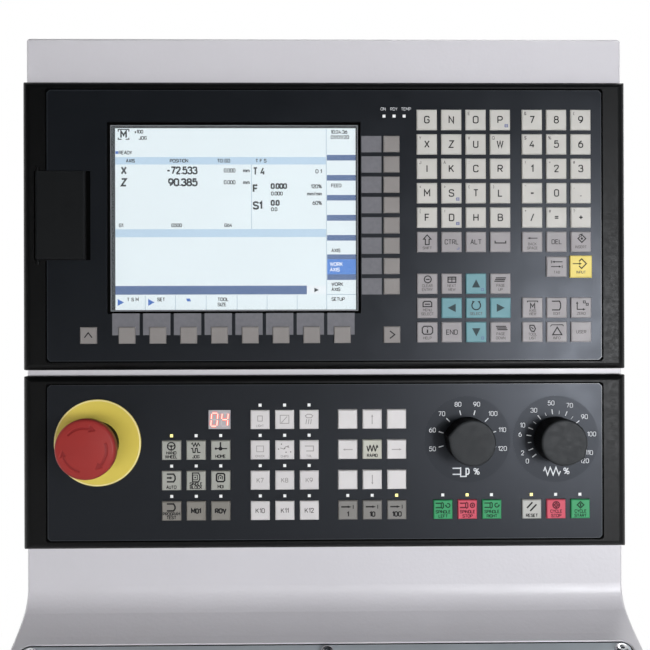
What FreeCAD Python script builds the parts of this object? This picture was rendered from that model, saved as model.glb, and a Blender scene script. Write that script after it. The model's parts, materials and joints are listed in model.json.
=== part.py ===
"""Operator console of a CNC turning lathe.

A folded and welded steel housing carries an operator panel with a screen, a machine control panel
with keys, override knobs and an emergency stop, and a sloping desk with a screwed plate.
Millimetres. X runs to the operator's right, Y to the back and Z up. The origin is the centre of the
four base bolts, on the underside.
"""
import FreeCAD, Part
import math
import os

# Housing, folded from sheet
SHEET = 2.0
HOUSING_DEPTH = 150.0  # from the upright face to the back
FACE_Y = -15.0  # the upright face
SIDE_BEVEL = 1.4  # on the side edges and the top edges
PANEL_OVERHANG = 1.0  # the panels beyond the housing's sides
TOP_MARGIN = 32.3  # housing above the operator panel
FACE_BELOW = 27.7  # straight face below the machine panel
COVE_START_Z = 114.0  # where the straight face ends
COVE_RADIUS = 20.0  # the tight bend below the panels
SWEEP_RADIUS = 95.0  # the wide bend that runs on into the desk
COVE_END_SLOPE = 36.0  # degrees below level
DESK_SLOPE = 24.0  # degrees below level
NOSE_RADIUS = 14.0
TOE_RADIUS = 6.0

# Base bolts and cable entry
BASE_BOLT_X = 340.0
BASE_BOLT_Y = 200.0
BASE_BOLT_HOLE = 9.0
CABLE_HOLE = 60.0
CABLE_HEIGHT = 48.0
GROMMET_BORE = 50.0
GROMMET_FLANGE = 5.0  # the rubber beyond the hole's edge
GROMMET_THICK = 3.0  # the rubber on each side of the sheet
RUBBER_CLEAR = 0.15

# Rear cover
REAR_SIDE = 24.0  # from the housing's sides and top to the opening
REAR_OPENING_LOW = 106.0
REAR_SEAL_WIDTH = 7.0
REAR_SEAL_THICK = 3.0
REAR_SCREW_OUT = 11.5  # the screws from the opening's edge
COVER_OVERLAP = 17.0
COVER_CORNER = 6.0

# Desk plate, let into the sloping desk
PLATE_SIDE = 8.0  # from the housing's sides
PLATE_LENGTH = 83.0
PLATE_THICK = 2.5
PLATE_START = 8.8  # from the end of the wide bend
PLATE_GAP = 1.2
PLATE_CORNER = 5.0
PLATE_SUNK = 0.3
DESK_MARGIN = 13.6  # from the plate to where the desk's nose starts
DESK_SEAL_THICK = 0.7
DESK_SEAL_WIDTH = 5.0
DESK_LEDGE = 15.0
RIM_BEVEL = 0.8
DESK_SCREW_INSET = 6.5

# Button-head screws
SCREW_HEAD = 9.5
SCREW_HEAD_HIGH = 2.75
SCREW_CROWN = 2.85  # radius of the flat on the head
SCREW_HEAD_SIDES = 12  # small repeated parts are many-sided, not round
SCREW_SHANK_SIDES = 8
SCREW_SHANK = 5.0
SCREW_HOLE_CLEAR = 0.5
SCREW_LENGTH = 9.0

# Front frames of the two panels
PANEL_GAP = 4.0
FRAME_DEPTH = 9.0  # bezel in front of the face
FRAME_EDGE = 3.0  # the outer edge in front of the face
FRAME_CORNER = 2.2
FRAME_CORNER_SIDES = 3  # flats round each corner
SIDE_ROLL = 8.0
END_ROLL = 4.0
BEZEL_SIDE = 16.7
BEZEL_END = 5.2
OVERLAY_THICK = 1.2
OVERLAY_SUNK = 0.6
OVERLAY_GAP = 0.4
OVERLAY_CORNER = 2.5
CUTOUT_MARGIN = 11.0  # the panel beyond its cut-out, all round
SPIGOT_CLEAR = 0.5
SPIGOT_WALL = 3.0
SPIGOT_DEPTH = 3.0

# Cases and boards behind the frames
CASE_WALL = 1.2
CASE_SLOTS = 11
CASE_SLOT_WIDTH = 4.7
CASE_SLOT_HEIGHT = 36.0
CASE_SLOT_PITCH = 14.0
OPERATOR_CASE_DEPTH = 70.0
MACHINE_CASE_DEPTH = 60.0
BOARD_THICK = 1.6
BOARD_CLEAR = 3.5
BOARD_LAP = 16.0  # of the operator board behind the screen's edges
OPERATOR_BOARD_BACK = 12.0
MACHINE_BOARD_BACK = 3.5
POST_SIDE = 4.5
POST_INSET = 14.0  # from the spigot's sides
POST_END_INSET = 8.0  # from the spigot's ends
POST_FROM_LED = 8.1  # the operator panel's middle posts from its last indicator
CLAMP_WIDTH = 16.0
CLAMP_HEIGHT = 10.0
CLAMP_LENGTH = 12.0
CLAMP_SCREW = 4.5
CLAMP_X = 150.0

# Interface flap, along the operator panel from its left edge
FLAP_PIN_IN = 11.2
FLAP_WIDTH = 32.8
FINGER_GAP = 3.6
FLAP_HEIGHT = 61.0
FLAP_CENTRE_Z = 7.1  # above the panel's centre
FLAP_PROUD = 0.5
FLAP_THICK = 2.5
FLAP_CLEAR = 0.4
FLAP_KNUCKLE = 1.9
FLAP_LIP = 1.2
HINGE_PIN = 1.5
HINGE_CLEAR = 0.05
HINGE_PIN_HOLD = 4.0
HINGE_PIN_IN_FLAP = 8.0
HINGE_PIT = 3.0
BAY_INSET = 7.5  # the bay inside the flap, above and below
BAY_FROM_PIN = 6.8
BAY_FROM_LIP = 4.0
SOCKET_FRONT = 1.0  # behind the face
SOCKET_LAP = 1.5  # the block beyond the bay
SOCKET_FLOOR = 1.0
STICK_PORT_WIDTH = 5.5
STICK_PORT_HEIGHT = 13.0
STICK_PORT_PITCH = 16.0
NETWORK_PORT_WIDTH = 12.0
NETWORK_PORT_HEIGHT = 11.0
PORT_INSET = 8.0  # the end ports' centres from the bay's ends

# Screen, onwards to the right and down from the panel's top
FLAP_TO_SCREEN = 11.5
SCREEN_TOP = 28.2
SCREEN_OPEN_WIDTH = 175.5
SCREEN_OPEN_HEIGHT = 132.9
SCREEN_BEVEL = 2.2
SCREEN_BEVEL_DEPTH = 1.3
GLASS_LAP = 4.0
GLASS_THICK = 1.8
GLASS_CLEAR = 0.3
MODULE_GAP = 0.3
MODULE_THICK = 13.0

# Softkeys round the screen
SOFT_KEY = 11.5
SOFT_ROW_DOWN = 14.8  # the row's centre below the screen
SOFT_ROW_BOTTOM = 24.1  # from there to the panel's lower edge
SOFT_ROW_IN = 13.7  # the first key's centre from the screen's left edge
SOFT_ROW_PITCH = 21.25
SOFT_RETURN_LEFT = 26.5  # the return key, left of the row
SOFT_COLUMN_KEY = 11.2
SOFT_COLUMN_OUT = 21.3  # the column's centre right of the screen
SOFT_COLUMN_DOWN = 15.5  # its first key below the screen's top edge
SOFT_COLUMN_PITCH = 14.1

# Letter, digit and cursor keys
LETTER_KEY = 14.1
INPUT_KEY = 15.3
LETTER_PITCH = 16.95
SOFT_TO_LETTER = 24.6
LETTER_TO_DIGIT = 22.25
DIGIT_TO_EDGE = 32.5
LETTER_TOP = 27.0
CURSOR_PITCH = 16.8
LETTER_TO_CURSOR = 28.95
TAB_ABOVE_CURSOR = 11.7
CURSOR_BOTTOM = 25.7

# Every key
KEY_PROUD = 1.6
KEY_TRAVEL = 1.0
KEY_CHAMFER = 0.6
KEY_CLEAR = 0.3
KEY_FLANGE_LAP = 0.7
KEY_FLANGE_THICK = 1.2
KEY_STEM = 4.5
DOME_HIGH = 1.0
DOME_CLEAR = 0.5

# Machine panel: its rows, and its blocks from the left edge, the middle and the right edge
MACHINE_KEY = 13.1
MACHINE_PITCH = 16.95
MACHINE_ROW_PITCH = 20.95
MACHINE_TOP = 30.4
MACHINE_BOTTOM = 26.75
ESTOP_IN = 52.2
ESTOP_DOWN = 46.1
ESTOP_TO_MODE = 51.0
CUSTOM_X = -45.6
JOG_X = 15.0
SPINDLE_TO_CYCLE = 61.7
CYCLE_TO_EDGE = 67.3
KNOB_FROM_KEYS = 17.3  # a knob's centre right of its keys' first column
KNOB_DOWN = 44.8

# Indicators and tool display
LED_SIZE = 2.7
LED_ABOVE_KEY = 9.9
LED_PROUD = 0.15
LED_CLEAR = 0.1
STATUS_LED_LEFT = 5.0  # the first one, left of the softkey column
STATUS_LED_PITCH = 7.0
STATUS_LED_DOWN = 24.2
TOOL_DISPLAY_WIDTH = 15.1
TOOL_DISPLAY_HEIGHT = 13.0
TOOL_DISPLAY_RIGHT = 33.1  # right of the mode keys' first column
TOOL_DISPLAY_SUNK = 0.2

# Emergency stop, in heights above the overlay
ESTOP_PLATE = 60.0
ESTOP_PLATE_THICK = 1.0
ESTOP_COLLAR = 30.0
ESTOP_COLLAR_TOP = 13.0
ESTOP_COLLAR_BEVEL = 1.0
ESTOP_BARREL = 22.0
ESTOP_HOLE = 22.3
ESTOP_TRAVEL = 4.5
ESTOP_RUNNING = 0.06
PLUNGER_RADIUS = 9.0
PLUNGER_STUB = 5.0
PLUNGER_TAIL = 4.0
MUSHROOM = 40.0
MUSHROOM_LOW = 18.0
MUSHROOM_FOOT = 12.4  # radius where the underside starts
MUSHROOM_RIM_LOW = 27.0
MUSHROOM_RIM_HIGH = 32.0
MUSHROOM_CHEEK = 2.8  # how far the rim rounds in, and up
MUSHROOM_DOME = 93.0  # radius of the dome
MUSHROOM_CROWN = 6.0  # radius of the flat middle
MUSHROOM_GAP = 0.3
CONTACT_SIZE = 30.0
CONTACT_LENGTH = 36.0
CONTACT_NECK = 9.0

# Override knobs, in heights above the overlay
KNOB_RADIUS = 15.65
KNOB_NOSE = 17.3
KNOB_LOW = 0.6
KNOB_TOP = 21.6
KNOB_CHAMFER = 0.8
SPINDLE_REST = 165.0  # degrees round from +X, where the nose points
FEED_REST = -37.5
KNOB_SHAFT = 6.0
KNOB_SHAFT_CLEAR = 0.05
KNOB_SHAFT_SHORT = 6.0  # the shaft's end from the switch's back
KNOB_HOLE = 12.0
SWITCH_SIZE = 30.0
SWITCH_LENGTH = 20.0

# The panels' sizes, summed up from what they hold
OPERATOR_HEIGHT = SCREEN_TOP + SCREEN_OPEN_HEIGHT + SOFT_ROW_DOWN + SOFT_ROW_BOTTOM
MACHINE_HEIGHT = MACHINE_TOP + 3 * MACHINE_ROW_PITCH + MACHINE_BOTTOM
PANEL_WIDTH = sum((
    FLAP_PIN_IN, FLAP_WIDTH, FINGER_GAP, FLAP_TO_SCREEN, SCREEN_OPEN_WIDTH, SOFT_COLUMN_OUT,
    SOFT_TO_LETTER, 3 * LETTER_PITCH, LETTER_TO_DIGIT, 2 * LETTER_PITCH, DIGIT_TO_EDGE))

# Housing places that follow
HOUSING_WIDTH = PANEL_WIDTH - 2 * PANEL_OVERHANG
MACHINE_Z = COVE_START_Z + FACE_BELOW + MACHINE_HEIGHT / 2
OPERATOR_Z = MACHINE_Z + MACHINE_HEIGHT / 2 + PANEL_GAP + OPERATOR_HEIGHT / 2
HOUSING_HEIGHT = OPERATOR_Z + OPERATOR_HEIGHT / 2 + TOP_MARGIN
BACK_Y = FACE_Y + HOUSING_DEPTH
REAR_OPENING_WIDTH = HOUSING_WIDTH - 2 * REAR_SIDE
REAR_OPENING_HIGH = HOUSING_HEIGHT - REAR_SIDE
PLATE_WIDTH = HOUSING_WIDTH - 2 * PLATE_SIDE
CUTOUT_WIDTH = PANEL_WIDTH - 2 * CUTOUT_MARGIN

# Depths that follow
BEZEL_Y = FACE_Y - FRAME_DEPTH
OVERLAY_Y = BEZEL_Y + OVERLAY_SUNK
OVERLAY_BACK_Y = OVERLAY_Y + OVERLAY_THICK
SPIGOT_Y = FACE_Y + SPIGOT_DEPTH
OPERATOR_BOARD_Y = FACE_Y + OPERATOR_BOARD_BACK
MACHINE_BOARD_Y = FACE_Y + MACHINE_BOARD_BACK
GLASS_Y = OVERLAY_BACK_Y + SCREEN_BEVEL_DEPTH
MODULE_Y = GLASS_Y + GLASS_THICK + MODULE_GAP

# Places on the operator panel that follow; heights are from its centre
FLAP_PIN_X = FLAP_PIN_IN - PANEL_WIDTH / 2
FLAP_RIGHT = FLAP_PIN_X + FLAP_WIDTH
FLAP_LOW = FLAP_CENTRE_Z - FLAP_HEIGHT / 2
FLAP_HIGH = FLAP_CENTRE_Z + FLAP_HEIGHT / 2
BAY_LEFT = FLAP_PIN_X + BAY_FROM_PIN
BAY_RIGHT = FLAP_RIGHT - BAY_FROM_LIP
BAY_LOW = FLAP_LOW + BAY_INSET
BAY_HIGH = FLAP_HIGH - BAY_INSET
SCREEN_LEFT = FLAP_RIGHT + FINGER_GAP + FLAP_TO_SCREEN
SCREEN_X = SCREEN_LEFT + SCREEN_OPEN_WIDTH / 2
SCREEN_Z = OPERATOR_HEIGHT / 2 - SCREEN_TOP - SCREEN_OPEN_HEIGHT / 2
SOFT_ROW_X = SCREEN_LEFT + SOFT_ROW_IN
SOFT_ROW_Z = SOFT_ROW_BOTTOM - OPERATOR_HEIGHT / 2
SOFT_COLUMN_X = SCREEN_LEFT + SCREEN_OPEN_WIDTH + SOFT_COLUMN_OUT
SOFT_COLUMN_Z = OPERATOR_HEIGHT / 2 - SCREEN_TOP - SOFT_COLUMN_DOWN
LETTER_X = SOFT_COLUMN_X + SOFT_TO_LETTER
DIGIT_X = LETTER_X + 3 * LETTER_PITCH + LETTER_TO_DIGIT
LETTER_Z = OPERATOR_HEIGHT / 2 - LETTER_TOP
CURSOR_Z = CURSOR_BOTTOM - OPERATOR_HEIGHT / 2 + 2 * CURSOR_PITCH
LETTER_ROW_PITCH = (LETTER_Z - CURSOR_Z - LETTER_TO_CURSOR) / 5
STATUS_LED_X = SOFT_COLUMN_X - STATUS_LED_LEFT
STATUS_LED_Z = OPERATOR_HEIGHT / 2 - STATUS_LED_DOWN

# Places on the machine panel that follow; heights are from its centre
MACHINE_ROW_Z = MACHINE_HEIGHT / 2 - MACHINE_TOP
ESTOP_X = ESTOP_IN - PANEL_WIDTH / 2
ESTOP_Z = MACHINE_HEIGHT / 2 - ESTOP_DOWN
MODE_X = ESTOP_X + ESTOP_TO_MODE
CYCLE_X = PANEL_WIDTH / 2 - CYCLE_TO_EDGE
SPINDLE_X = CYCLE_X - SPINDLE_TO_CYCLE
SPINDLE_KNOB_X = SPINDLE_X + KNOB_FROM_KEYS
FEED_KNOB_X = CYCLE_X + KNOB_FROM_KEYS
KNOB_Z = MACHINE_HEIGHT / 2 - KNOB_DOWN

PAST = 1.0  # how far a cutter runs past what it cuts
SAME_PLACE = 1e-4  # closer than this, two places are one
ROUND_SIDES = 36  # of the round pieces that nothing turns or slides in
UPRIGHT = 90.0  # degrees

V = FreeCAD.Vector


def block(xs, ys, zs):
    """A box between the two values given for each axis."""
    low = V(min(xs), min(ys), min(zs))
    return Part.makeBox(max(xs) - low.x, max(ys) - low.y, max(zs) - low.z, low)


def edges_along(shape, direction):
    """The straight edges of a shape that run along a direction."""
    found = []
    for edge in shape.Edges:
        run = edge.Vertexes[-1].Point - edge.Vertexes[0].Point
        if edge.Curve.TypeId == "Part::GeomLine" and run.cross(direction).Length < SAME_PLACE:
            found.append(edge)
    return found


def plate(x, z, width, height, ys, corner=0.0):
    """An upright rectangular plate about (x, z), with rounded corners."""
    body = block((x - width / 2, x + width / 2), ys, (z - height / 2, z + height / 2))
    if corner:
        body = body.makeFillet(corner, edges_along(body, V(0, 1, 0)))
    return body


def drum(x, z, radius, ys):
    """A cylinder along Y."""
    return Part.makeCylinder(radius, max(ys) - min(ys), V(x, min(ys), z), V(0, 1, 0))


def closed_wire(start, steps):
    """A closed wire. Each step is the end of a line, or the middle and end of an arc."""
    edges = []
    here = start
    for step in steps + [start]:
        if isinstance(step, tuple):
            edges.append(Part.Arc(here, step[0], step[1]).toShape())
            here = step[1]
        elif (step - here).Length > SAME_PLACE:
            edges.append(Part.LineSegment(here, step).toShape())
            here = step
    return Part.Wire(edges)


def swept(wire, along):
    """The solid of a flat wire moved along a vector."""
    return Part.Face(wire).extrude(along)


def polar(radius, degrees):
    """The x and z of a point at an angle round from +X."""
    return radius * math.cos(math.radians(degrees)), radius * math.sin(math.radians(degrees))


def stacked(sections):
    """A solid with flat faces between alike sections, each a list of corners."""
    faces = [Part.Face(closed_wire(section[0], section[1:])) for section in (sections[0], sections[-1])]
    for near, far in zip(sections, sections[1:]):
        for side in range(len(near)):
            after = (side + 1) % len(near)
            faces.append(Part.Face(closed_wire(near[side], [near[after], far[after], far[side]])))
    body = Part.makeSolid(Part.makeShell(faces))
    if body.Volume < 0.0:
        body.reverse()
    return body


def faceted(x, z, sections):
    """A many-sided solid round the Y line through (x, z), from its (radius, y) sections in order."""
    outlines = []
    for radius, y in sections:
        turns = [polar(radius, 360.0 * side / ROUND_SIDES) for side in range(ROUND_SIDES)]
        outlines.append([V(x + dx, y, z + dz) for dx, dz in turns])
    return stacked(outlines)


# Housing


def slope_normal(slope):
    """Into the sheet, square to a surface that falls forward at a slope."""
    angle = math.radians(UPRIGHT - slope)
    return V(0, math.cos(angle), -math.sin(angle))


COVE_CENTRE = V(0, FACE_Y - COVE_RADIUS, COVE_START_Z)
SWEEP_CENTRE = COVE_CENTRE + slope_normal(COVE_END_SLOPE) * (COVE_RADIUS - SWEEP_RADIUS)
DESK_START = SWEEP_CENTRE + slope_normal(DESK_SLOPE) * SWEEP_RADIUS
DESK_INWARD = slope_normal(DESK_SLOPE)
DESK_FORWARD = V(0, -math.cos(math.radians(DESK_SLOPE)), -math.sin(math.radians(DESK_SLOPE)))


def console_outline(inset):
    """The console's side outline, moved inwards by an inset."""
    def cove(slope):
        return COVE_CENTRE + slope_normal(slope) * (COVE_RADIUS + inset)

    def sweep(slope):
        return SWEEP_CENTRE + slope_normal(slope) * (SWEEP_RADIUS + inset)

    desk_length = PLATE_START + PLATE_LENGTH + DESK_MARGIN
    nose_centre = DESK_START + DESK_FORWARD * desk_length + DESK_INWARD * NOSE_RADIUS
    nose = NOSE_RADIUS - inset
    nose_middle = V(0, -1, 0) - DESK_INWARD
    nose_middle.normalize()
    toe_centre = V(0, nose_centre.y - NOSE_RADIUS + TOE_RADIUS, TOE_RADIUS)
    toe = TOE_RADIUS - inset
    toe_middle = V(0, -1, -1).normalize()
    start = V(0, BACK_Y - inset, inset)
    steps = [
        V(0, BACK_Y - inset, HOUSING_HEIGHT - inset),
        V(0, FACE_Y + inset, HOUSING_HEIGHT - inset),
        cove(UPRIGHT),
        (cove((UPRIGHT + COVE_END_SLOPE) / 2), cove(COVE_END_SLOPE)),
        (sweep((COVE_END_SLOPE + DESK_SLOPE) / 2), sweep(DESK_SLOPE)),
        nose_centre - DESK_INWARD * nose,
        (nose_centre + nose_middle * nose, nose_centre + V(0, -nose, 0)),
        toe_centre + V(0, -toe, 0),
        (toe_centre + toe_middle * toe, toe_centre + V(0, 0, -toe)),
    ]
    return closed_wire(start, steps)


def console_solid(inset):
    """The space inside the console's outline, inset on every side."""
    wire = console_outline(inset)
    wire.translate(V(inset - HOUSING_WIDTH / 2, 0, 0))
    return swept(wire, V(HOUSING_WIDTH - 2 * inset, 0, 0))


def on_desk(flat):
    """Lays a shape that was made flat, with its front towards -Y, on the sloping desk."""
    flat.rotate(V(0, 0, 0), V(1, 0, 0), DESK_SLOPE)
    flat.translate(DESK_START)
    return flat


def desk_slab(grow, zs, corner):
    """A flat slab over the desk plate's place, larger on each side by grow."""
    half = PLATE_WIDTH / 2 + grow
    ys = (-PLATE_START + grow, -PLATE_START - PLATE_LENGTH - grow)
    slab = block((-half, half), ys, zs)
    if corner:
        slab = slab.makeFillet(corner, edges_along(slab, V(0, 0, 1)))
    return slab


RECESS_DEPTH = PLATE_SUNK + PLATE_THICK + DESK_SEAL_THICK


def desk_screw_places():
    """Where the desk plate's screws stand, on the flat desk."""
    side = PLATE_WIDTH / 2 - DESK_SCREW_INSET
    rear = -PLATE_START - DESK_SCREW_INSET
    front = -PLATE_START - PLATE_LENGTH + DESK_SCREW_INSET
    return [(x, y) for x in (-side, 0.0, side) for y in (rear, front)]


def at_desk_screws(upright):
    """Copies of a shape that was made upright at the origin, one at each desk screw."""
    shapes = []
    for x, y in desk_screw_places():
        shape = upright.copy()
        shape.translate(V(x, y, 0))
        shapes.append(on_desk(shape))
    return shapes


def rear_screw_places():
    """Where the rear cover's screws stand, as (x, z): the corners and the middles of the sides."""
    middle = (REAR_OPENING_LOW + REAR_OPENING_HIGH) / 2
    side = REAR_OPENING_WIDTH / 2 + REAR_SCREW_OUT
    low = REAR_OPENING_LOW - REAR_SCREW_OUT
    high = REAR_OPENING_HIGH + REAR_SCREW_OUT
    return [(x, z) for x in (-side, side) for z in (low, middle, high)]


def at_rear_screws(upright):
    """Copies of an upright shape, turned to stand out of the back, one at each rear cover screw."""
    shapes = []
    for x, z in rear_screw_places():
        shape = upright.copy()
        shape.rotate(V(0, 0, 0), V(1, 0, 0), -UPRIGHT)
        shape.translate(V(x, BACK_Y, z))
        shapes.append(shape)
    return shapes


def ring(radius, sides, z):
    """The corners of a regular polygon round the Z axis, at a height."""
    return [V(*polar(radius, 360.0 * side / sides), z) for side in range(sides)]


def rod(radius, sides, zs):
    """A many-sided rod along the Z axis."""
    return stacked([ring(radius, sides, z) for z in zs])


def bevel_recess_rim(shell):
    """Bevels the edge where the desk turns down into the plate's recess."""
    half = PLATE_WIDTH / 2 + PLATE_GAP
    rear = PLATE_START - PLATE_GAP
    front = PLATE_START + PLATE_LENGTH + PLATE_GAP
    rim = []
    for edge in shell.Edges:
        from_start = [vertex.Point - DESK_START for vertex in edge.Vertexes]
        middle = edge.CenterOfMass - DESK_START
        level = all(abs(point.dot(DESK_INWARD)) < SAME_PLACE for point in from_start)
        along = middle.dot(DESK_FORWARD)
        inside = rear - SAME_PLACE < along < front + SAME_PLACE and abs(middle.x) < half + SAME_PLACE
        if level and inside:
            rim.append(edge)
    return shell.makeChamfer(RIM_BEVEL, rim)


def console_housing():
    """The welded housing: the swept shell, its cut-outs and the recessed desk."""
    outer = console_solid(0.0)
    eased = [edge for edge in outer.Edges if abs(edge.CenterOfMass.x) > HOUSING_WIDTH / 2 - SHEET]
    eased += [edge for edge in edges_along(outer, V(1, 0, 0)) if edge.CenterOfMass.z > OPERATOR_Z]
    shell = outer.makeChamfer(SIDE_BEVEL, eased).cut(console_solid(SHEET))
    tray = desk_slab(PLATE_GAP + SHEET, (-RECESS_DEPTH - SHEET, -SHEET / 2), PLATE_CORNER)
    shell = shell.fuse(on_desk(tray))
    recess = desk_slab(PLATE_GAP, (-RECESS_DEPTH, PAST), PLATE_CORNER + PLATE_GAP)
    hatch = desk_slab(-DESK_LEDGE, (-RECESS_DEPTH - SHEET - PAST, 0.0), 0.0)
    cutters = [on_desk(recess), on_desk(hatch)]
    cutters += at_desk_screws(rod(SCREW_SHANK / 2, SCREW_SHANK_SIDES, (-RECESS_DEPTH - SHEET - PAST, 0.0)))
    front_ys = (FACE_Y - PAST, FACE_Y + SHEET + PAST)
    for z, height in ((OPERATOR_Z, OPERATOR_HEIGHT), (MACHINE_Z, MACHINE_HEIGHT)):
        cutters.append(plate(0.0, z, CUTOUT_WIDTH, height - 2 * CUTOUT_MARGIN, front_ys))
    back_ys = (BACK_Y - SHEET - PAST, BACK_Y + PAST)
    rear_middle = (REAR_OPENING_LOW + REAR_OPENING_HIGH) / 2
    rear_high = REAR_OPENING_HIGH - REAR_OPENING_LOW
    cutters.append(plate(0.0, rear_middle, REAR_OPENING_WIDTH, rear_high, back_ys))
    cutters.append(drum(0.0, CABLE_HEIGHT, CABLE_HOLE / 2, back_ys))
    cutters += at_rear_screws(rod(SCREW_SHANK / 2, SCREW_SHANK_SIDES, (-SHEET - PAST, PAST)))
    for x in (-BASE_BOLT_X / 2, BASE_BOLT_X / 2):
        for y in (-BASE_BOLT_Y / 2, BASE_BOLT_Y / 2):
            cutters.append(Part.makeCylinder(BASE_BOLT_HOLE / 2, SHEET + 2 * PAST, V(x, y, -PAST)))
    return bevel_recess_rim(shell.cut(cutters))


def cable_grommet():
    """The rubber ring that lines the cable entry, grooved over the sheet's edge."""
    rim = CABLE_HOLE / 2 + GROMMET_FLANGE
    groove = CABLE_HOLE / 2 - RUBBER_CLEAR
    inside = BACK_Y - SHEET - RUBBER_CLEAR
    outside = BACK_Y + RUBBER_CLEAR
    ends = (inside - GROMMET_THICK, outside + GROMMET_THICK)
    ring = faceted(0.0, CABLE_HEIGHT, [(rim, ends[0]), (rim, inside)])
    ring = ring.fuse([
        faceted(0.0, CABLE_HEIGHT, [(groove, inside), (groove, outside)]),
        faceted(0.0, CABLE_HEIGHT, [(rim, outside), (rim, ends[1])]),
    ])
    bore = GROMMET_BORE / 2
    return ring.cut(faceted(0.0, CABLE_HEIGHT, [(bore, ends[0] - PAST), (bore, ends[1] + PAST)]))


def rear_sheet(grow, ys, corner=0.0):
    """A plate over the rear opening, larger on each side by grow."""
    middle = (REAR_OPENING_LOW + REAR_OPENING_HIGH) / 2
    height = REAR_OPENING_HIGH - REAR_OPENING_LOW + 2 * grow
    return plate(0.0, middle, REAR_OPENING_WIDTH + 2 * grow, height, ys, corner)


def rear_cover():
    """A shallow pan over the rear opening, with its edges folded towards the housing."""
    seat = BACK_Y + REAR_SEAL_THICK
    folded = seat - REAR_SEAL_THICK + RUBBER_CLEAR
    pan = rear_sheet(COVER_OVERLAP, (folded, seat + SHEET), COVER_CORNER)
    pan = pan.cut(rear_sheet(COVER_OVERLAP - SHEET, (folded - PAST, seat), COVER_CORNER - SHEET))
    zs = (REAR_SEAL_THICK - PAST, REAR_SEAL_THICK + SHEET + PAST)
    hole = rod((SCREW_SHANK + SCREW_HOLE_CLEAR) / 2, SCREW_SHANK_SIDES, zs)
    return pan.cut(at_rear_screws(hole))


def rear_cover_seal():
    """The flat rubber ring between the housing and its rear cover, inside the screws."""
    ys = (BACK_Y, BACK_Y + REAR_SEAL_THICK)
    return rear_sheet(REAR_SEAL_WIDTH, ys).cut(rear_sheet(0.0, (ys[0] - PAST, ys[1] + PAST)))


def desk_plate():
    """The plate that closes the desk, flush in its recess."""
    top = -PLATE_SUNK
    slab = desk_slab(0.0, (top - PLATE_THICK, top), PLATE_CORNER)
    zs = (top - PLATE_THICK - PAST, PAST)
    hole = rod((SCREW_SHANK + SCREW_HOLE_CLEAR) / 2, SCREW_SHANK_SIDES, zs)
    return on_desk(slab).cut(at_desk_screws(hole))


def desk_plate_seal():
    """The rubber strip under the desk plate, round the hatch and inside the screws."""
    zs = (-RECESS_DEPTH, -RECESS_DEPTH + DESK_SEAL_THICK)
    strip = desk_slab(DESK_SEAL_WIDTH - DESK_LEDGE, zs, 0.0)
    return on_desk(strip.cut(desk_slab(-DESK_LEDGE, (zs[0] - PAST, zs[1] + PAST), 0.0)))


def button_screw(seat):
    """A button-head screw along the Z axis, its head on a seat."""
    top = seat + SCREW_HEAD_HIGH
    head = stacked([ring(SCREW_HEAD / 2, SCREW_HEAD_SIDES, seat), ring(SCREW_CROWN, SCREW_HEAD_SIDES, top)])
    shank = rod(SCREW_SHANK / 2, SCREW_SHANK_SIDES, (seat - SCREW_LENGTH, seat))
    return head.fuse(shank)


def cover_screws():
    """The alike screws of the desk plate and the rear cover."""
    on_plate = at_desk_screws(button_screw(-PLATE_SUNK))
    on_cover = at_rear_screws(button_screw(REAR_SEAL_THICK + SHEET))
    return Part.makeCompound(on_plate + on_cover)


# Panel frames


def roll_outline(half, roll, place):
    """A frame's section: a thin edge that rolls up to the flat bezel."""
    rise = FRAME_DEPTH - FRAME_EDGE
    bulge = math.sqrt(0.5)
    middle = (half - roll + roll * bulge, FACE_Y - FRAME_EDGE - rise * bulge)
    return closed_wire(place(-half, FACE_Y), [
        place(-half, FACE_Y - FRAME_EDGE),
        (place(-middle[0], middle[1]), place(roll - half, BEZEL_Y)),
        place(half - roll, BEZEL_Y),
        (place(middle[0], middle[1]), place(half, FACE_Y - FRAME_EDGE)),
        place(half, FACE_Y),
    ])


def overlay_plate(z, height, shrink, ys):
    """The overlay's place in a panel, smaller all round by shrink."""
    width = PANEL_WIDTH - 2 * BEZEL_SIDE - 2 * shrink
    tall = height - 2 * BEZEL_END - 2 * shrink
    return plate(0.0, z, width, tall, ys, OVERLAY_CORNER)


def spigot_plate(z, height, shrink, ys):
    """The frame's spigot in the housing's cut-out, smaller all round by shrink."""
    width = CUTOUT_WIDTH - 2 * SPIGOT_CLEAR - 2 * shrink
    tall = height - 2 * CUTOUT_MARGIN - 2 * SPIGOT_CLEAR - 2 * shrink
    return plate(0.0, z, width, tall, ys)


def frame_outline(z, height, y):
    """The corners of a frame's outline, with flats round each of its four corners."""
    corners = []
    for quarter, (right, top) in enumerate(((1, 1), (-1, 1), (-1, -1), (1, -1))):
        for step in range(FRAME_CORNER_SIDES + 1):
            dx, dz = polar(FRAME_CORNER, 90.0 * (quarter + step / FRAME_CORNER_SIDES))
            x = right * (PANEL_WIDTH / 2 - FRAME_CORNER) + dx
            corners.append(V(x, y, z + top * (height / 2 - FRAME_CORNER) + dz))
    return corners


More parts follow.
